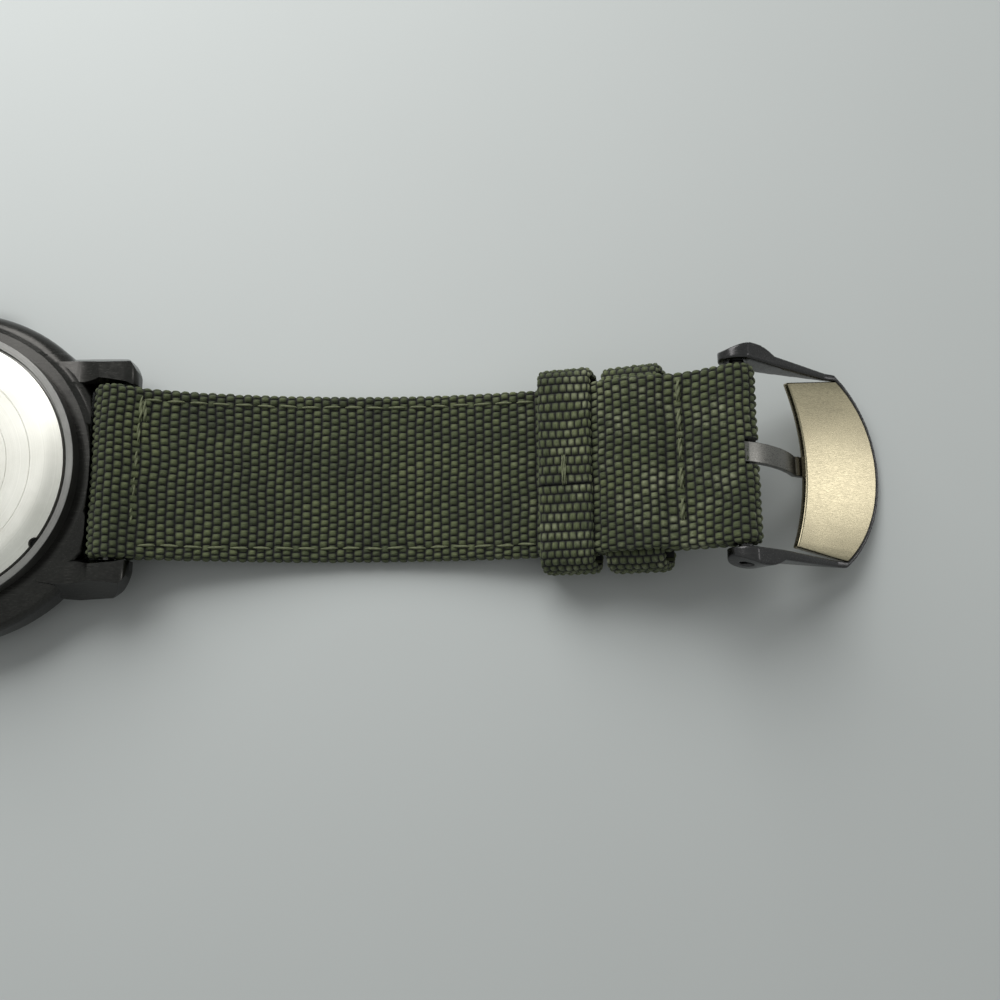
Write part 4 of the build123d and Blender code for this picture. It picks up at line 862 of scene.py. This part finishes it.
# The strap, in millimetres. Rows are where it is sewn, reaches are places along
# the watch, and runs are lengths along the web
strap = {"loopRadius": 2.2, "loopEase": 0.3, "seamRun": 5.2, "seamLift": 0.08, "seamOver": 3.0,
         "tailLength": 115.0, "turnOutside": 1.95, "turnRun": 1.0, "turnEase": 0.1, "liningBack": 1.2,
         "sewReach": 84.6, "flapReach": 71.0, "flapSkin": 0.03, "flapRamp": 1.0, "flapRow": 0.85,
         "flapEdgeRun": 18.0, "tailEdgeRun": 10.0, "edgeRow": 1.5, "lugRow": 2.9, "rowWidth": 0.4,
         "rowReach": 8.6, "dent": 0.16}
keepers = {"floating": {"start": 67.9, "width": 6.5, "low": -1.05, "high": 3.48, "seamY": -2.1},
           "fixed": {"start": 75.1, "width": 6.9, "low": -2.4, "high": 2.23, "seamY": 0.0}}
keeperShape = {"inside": 10.9, "wall": 1.0, "corner": 2.3, "buttGap": 0.06, "startRise": 0.12,
               "startRun": 2.5, "endRun": 1.5, "endDrop": 0.05}
edgeAt = web["width"] / 2 - strap["edgeRow"]
pivotX = halves["buckle"]["radius"] * math.asin((pivot.x - halves["buckle"]["centreX"])
                                                / (halves["buckle"]["radius"] - strap["turnOutside"]))
sewX = alongStrap(halves["buckle"], strap["sewReach"])
flapX = alongStrap(halves["buckle"], strap["flapReach"])
fixedX = alongStrap(halves["buckle"], keepers["fixed"]["start"])
tailEndX = halves["tail"]["barX"] + strap["tailLength"]
underLugRun = strap["seamRun"] - strap["lugRow"]
lugRun = strap["seamRun"] + math.pi * strap["loopRadius"] + strap["lugRow"]


# Inner layer, round the lug bar and out along the wrist side
def liningRoute(half, endX):
    barX, layer, loop = half["barX"], web["layer"], strap["loopRadius"]
    seamX = barX + strap["seamRun"]
    lean = math.degrees(math.asin((loop - layer) / math.hypot(strap["seamRun"], layer))) * strap["loopEase"]
    under = [(seamX, 0)] + arcRun(barX, layer, loop, -90 + lean, -270 - lean, 25)
    return under + easeRoute([(seamX - 1, 2 * layer + strap["seamLift"]), (seamX, 2 * layer),
                              (seamX + strap["seamOver"], 2 * layer), (endX, 2 * layer)], 2)


# Sewn rows pull the web in: rows across it at some places on its route, and one
# beside each edge from low to high
def rowDent(acrossAt, low, high=math.inf):
    def dent(s, t):
        deep = np.exp(-((np.abs(t) - edgeAt) / strap["rowWidth"]) ** 2) * (s > low) * (s < high)
        for at in acrossAt:
            row = np.exp(-((s - at) / strap["rowWidth"]) ** 2) * (np.abs(t) < strap["rowReach"])
            deep = np.maximum(deep, row)
        return deep * strap["dent"]
    return dent


# The tongue's slot, as boxes of (along from the pin, up from the pin)
tongueSlot = {"width": 2.9, "lining": [(-3.0, 3.0, -2.2, 2.2)],
              "outer": [(-1.5, 2.45, -3.45, 1.4), (-2.1, 0.0, -3.45, 1.1), (-3.0, 0.0, -2.95, 0.0)]}
tailShape = {"holes": 7, "firstHole": 24.0, "pitch": 7.0, "holeRadius": 1.0, "tipRun": 8.5,
             "bowAlongShare": 0.25, "bowAcrossShare": 0.31, "cutFrom": -1.0, "cutTo": 4.0, "overrun": 2.0}


def cutTongueSlot(piece, boxes):
    middle = strap["turnOutside"]
    for x0, x1, z0, z1 in boxes:
        outline = [(pivotX + x, middle + z) for x, z in ((x0, z0), (x1, z0), (x1, z1), (x0, z1))]
        cutPiece(piece, makeCutter(outline, -tongueSlot["width"] / 2, tongueSlot["width"] / 2, "Y"))


# Round holes through the tail, and its end cut to a point
def cutTail(piece):
    shape, overrun, wide = tailShape, tailShape["overrun"], web["width"] / 2
    outlines = [circleOutline(tailEndX - shape["firstHole"] - shape["pitch"] * i, 0, shape["holeRadius"])
                for i in range(shape["holes"])]
    middle = (-shape["bowAlongShare"] * shape["tipRun"], shape["bowAcrossShare"] * web["width"])
    corner = (-shape["tipRun"], wide)
    bow = []
    for share in np.linspace(0, 1, 13):
        # a parabola through the point, the bow's middle and the corner
        toMiddle, toCorner = 4 * share * (1 - share), share * (2 * share - 1)
        x, y = (toMiddle * m + toCorner * c for m, c in zip(middle, corner))
        bow.append((tailEndX + x, y))
    for side in (1, -1):
        waste = [(tailEndX - shape["tipRun"], side * (wide + overrun)),
                 (tailEndX + overrun, side * (wide + overrun)), (tailEndX + overrun, 0)]
        outlines.append([(x, side * y) for x, y in bow] + waste)
    cutters = [makeCutter(outline, shape["cutFrom"], shape["cutTo"]) for outline in outlines]
    cutPiece(piece, joinPieces(cutters))


def finishWeb(piece, name, layer):
    bendToArc(piece, halves[name])
    finishPiece(piece, name + "_strap", "woven_strap", [name + "_strap_" + layer], 60)


def layLinings():
    for name, half in halves.items():
        endX = pivotX - strap["liningBack"] if name == "buckle" else tailEndX
        piece = layWeb(name + "_strap_lining_web", liningRoute(half, endX), web["width"], web["layer"],
                       half["cells"], rowDent([lugRun, underLugRun], lugRun, half["sewnTo"]))
        if name == "buckle":
            cutTongueSlot(piece, tongueSlot["lining"])
        else:
            cutTail(piece)
        finishWeb(piece, name, "lining")


# Outer layer: from the flap's end over the fixed keeper, round the buckle pin
# and back along the table side to the seam behind the lug bar
def layOuters():
    low = 3 * web["layer"] + strap["flapSkin"]
    high = 3 * web["layer"] + 2 * strap["flapSkin"] + keeperShape["wall"]
    turn, ease, ramp = strap["turnOutside"], strap["turnEase"], strap["flapRamp"]
    turnX, fixedEndX = pivotX - strap["turnRun"], fixedX + keepers["fixed"]["width"]
    flap = easeRoute([(flapX, low), (fixedX - ramp, low), (fixedX + ease, high), (fixedEndX - ease, high),
                      (fixedEndX + ramp, low), (sewX, low), (turnX, 2 * turn - ease)], 3)
    route = flap + arcRun(pivotX, turn, turn, 90, -90, 25)
    route += [(x, 0) for x in np.linspace(turnX, halves["buckle"]["barX"] + strap["seamRun"], 60)]
    flapRun = measurePath(flap)[1][-1] - (pivotX - sewX) + strap["turnRun"]
    piece = layWeb("buckle_strap_outer_web", route, web["width"], web["layer"], halves["buckle"]["cells"],
                   rowDent([flapRun], flapRun + strap["flapEdgeRun"]))
    cutTongueSlot(piece, tongueSlot["outer"])
    finishWeb(piece, "buckle", "outer")
    route = [(x, 0) for x in np.linspace(tailEndX, halves["tail"]["barX"] + strap["seamRun"], 80)]
    piece = layWeb("tail_strap_outer_web", route, web["width"], web["layer"], halves["tail"]["cells"],
                   rowDent([], strap["tailEdgeRun"]))
    cutTail(piece)
    finishWeb(piece, "tail", "outer")


# A keeper: a narrow web round the strap, butted on the wrist side
def layKeeper(name, keeper):
    half, shape, seam = halves["buckle"], keeperShape, keeper["seamY"]
    wide, corner = shape["inside"] + shape["wall"], shape["corner"]
    top, bottom = keeper["high"] + shape["wall"], keeper["low"] - shape["wall"]
    route = [(seam + shape["buttGap"], top + shape["startRise"]), (seam + shape["startRun"], top)]
    for side, up, start in ((1, top - corner, 90), (1, bottom + corner, 0),
                            (-1, bottom + corner, -90), (-1, top - corner, 180)):
        route += arcRun(side * (wide - corner), up, corner, start, start - 90, 9)
    route += [(seam - shape["endRun"], top), (seam - shape["buttGap"], top - shape["endDrop"])]
    piece = layWeb(name + "_keeper_web", route, keeper["width"], shape["wall"], (6, 6),
                   keeperX=alongStrap(half, keeper["start"]) + keeper["width"] / 2)
    bendToArc(piece, half)
    body = "floating_keeper" if name == "floating" else "buckle_strap"
    finishPiece(piece, body, "woven_keeper", [name + "_keeper"], 60)


# Stitches: pale olive thread, lightly sunk; the flap's row is a thick two-ply thread
sewing = {"edge": {"length": 2.1, "pitch": 2.6, "thickness": 0.3, "plies": 1, "rise": 0.08},
          "lug": {"length": 2.6, "pitch": 3.15, "thickness": 0.42, "plies": 2, "rise": 0.3,
                  "underRise": 0.05, "lean": 0.12},
          "flap": {"length": 2.5, "pitch": 3.3, "thickness": 0.58, "plies": 2, "rise": 0.12},
          "tack": {"length": 2.6, "pitch": 0.45, "thickness": 0.5, "plies": 2, "rise": 0.32,
                   "across": 7.0, "lean": 0.12},
          "keeper": {"length": 3.5, "pitch": 0.26, "thickness": 0.36, "plies": 2, "rise": 0.1, "aside": 1.6},
          "twist": 1.0, "dive": 0.2, "sunk": 0.02, "acrossFrom": 7.6, "acrossTo": -7.4, "wander": 0.05,
          "pinBack": 3.0, "tipBack": 9.0, "plyWidth": 0.62, "plyApart": 0.22}


def modelStitch(kind):
    strands = []
    for ply in range(kind["plies"]):
        selectOnly()
        bpy.ops.mesh.primitive_uv_sphere_add(segments=8, ring_count=12, radius=0.5)
        strand = bpy.context.object
        wide = kind["thickness"] * (1 if kind["plies"] == 1 else sewing["plyWidth"])
        strand.data.transform(Matrix.Diagonal((kind["length"], wide, wide, 1))
                              @ Matrix.Rotation(math.pi / 2, 4, "Y"))
        apart = kind["thickness"] * sewing["plyApart"] * (kind["plies"] - 1)
        for vertex in strand.data.vertices:
            share = 2 * vertex.co.x / kind["length"]
            turn = math.pi * (share * sewing["twist"] + ply)
            vertex.co.y += apart * math.cos(turn)
            vertex.co.z += apart * math.sin(turn) - sewing["dive"] * share ** 4
        strands.append(strand)
    return joinPieces(strands)


# Copies of one stitch at (along, across, up, turn), facing up or down
def sewStitches(kind, places, chance, down=False):
    first = modelStitch(kind)
    copies = []
    for x, y, z, turn in places:
        copied = bpy.data.objects.new("stitch", first.data.copy())
        bpy.context.scene.collection.objects.link(copied)
        lean = turn + chance.uniform(-1, 1) * sewing["wander"]
        move = Matrix.Translation((x, y + chance.uniform(-1, 1) * sewing["wander"], z))
        flip = Matrix.Rotation(math.pi if down else 0, 4, "X")
        copied.data.transform(move @ Matrix.Rotation(lean, 4, "Z") @ flip)
        copies.append(copied)
    bpy.data.objects.remove(first)
    return copies


def rowAlong(start, end, across, up):
    pitch = sewing["edge"]["pitch"]
    return [(start + pitch * (i + 0.5), across, up, 0) for i in range(int((end - start) / pitch))]


def rowAcross(kind, along, up, lean=0.0):
    count = int((sewing["acrossFrom"] - sewing["acrossTo"]) / kind["pitch"]) + 1
    return [(along - lean * i, sewing["acrossFrom"] - kind["pitch"] * i, up, math.pi / 2)
            for i in range(count)]


def finishStitches(stitches, half, body, slot):
    thread = joinPieces(stitches)
    bendToArc(thread, half)
    finishPiece(thread, body, slot, material="stitching", smooth=80)
    thread.name = thread.data.name = body + "_stitching"


# Rows beside the edges, top and under, a row across behind the lug bar with a
# double tack at its end, and the flap's row before the pin
def sewHalf(name, topEnd, underEnd):
    half, chance = halves[name], random.Random(11)
    edge, lug, tack, flap = (sewing[kind] for kind in ("edge", "lug", "tack", "flap"))
    lugRowX, seamX = half["barX"] + strap["lugRow"], half["barX"] + strap["seamRun"]
    top = 2 * web["layer"] + sewing["sunk"] - edge["thickness"] / 2
    under = edge["thickness"] / 2
    stitches = []
    for across in (edgeAt, -edgeAt):
        stitches += sewStitches(edge, rowAlong(lugRowX, topEnd, across, top + edge["rise"]), chance)
        stitches += sewStitches(edge, rowAlong(seamX, underEnd, across, under), chance, True)
    stitches += sewStitches(lug, rowAcross(lug, lugRowX, top + lug["rise"], lug["lean"]), chance)
    stitches += sewStitches(lug, rowAcross(lug, lugRowX, under + lug["underRise"]), chance, True)
    tacks = [(lugRowX + tack["pitch"] * i, tack["across"], top + tack["rise"], math.pi / 2 + tack["lean"] * i)
             for i in (0, 1)]
    stitches += sewStitches(tack, tacks, chance)
    if name == "buckle":
        flapUp = 3 * web["layer"] + strap["flapSkin"] + flap["rise"]
        stitches += sewStitches(flap, rowAcross(flap, sewX - strap["flapRow"], flapUp), chance)
    finishStitches(stitches, half, name + "_strap", "woven_strap")


def sewKeeper():
    keeper, kind = keepers["floating"], sewing["keeper"]
    top = keeper["high"] + keeperShape["wall"]
    middleX = alongStrap(halves["buckle"], keeper["start"]) + keeper["width"] / 2
    places = [(middleX + kind["pitch"] * i, keeper["seamY"] + kind["aside"], top + kind["rise"], math.pi / 2)
              for i in (-0.5, 0.5)]
    stitches = sewStitches(kind, places, random.Random(5))
    finishStitches(stitches, halves["buckle"], "floating_keeper", "woven_keeper")


layLinings()
print("linings laid")
layOuters()
print("outer layers laid")
for keeperName, keeper in keepers.items():
    layKeeper(keeperName, keeper)
print("keepers laid")
sewHalf("buckle", alongStrap(halves["buckle"], keepers["floating"]["start"]), pivotX - sewing["pinBack"])
sewHalf("tail", tailEndX - sewing["tipBack"], tailEndX - sewing["tipBack"])
sewKeeper()
print("stitches sewn")
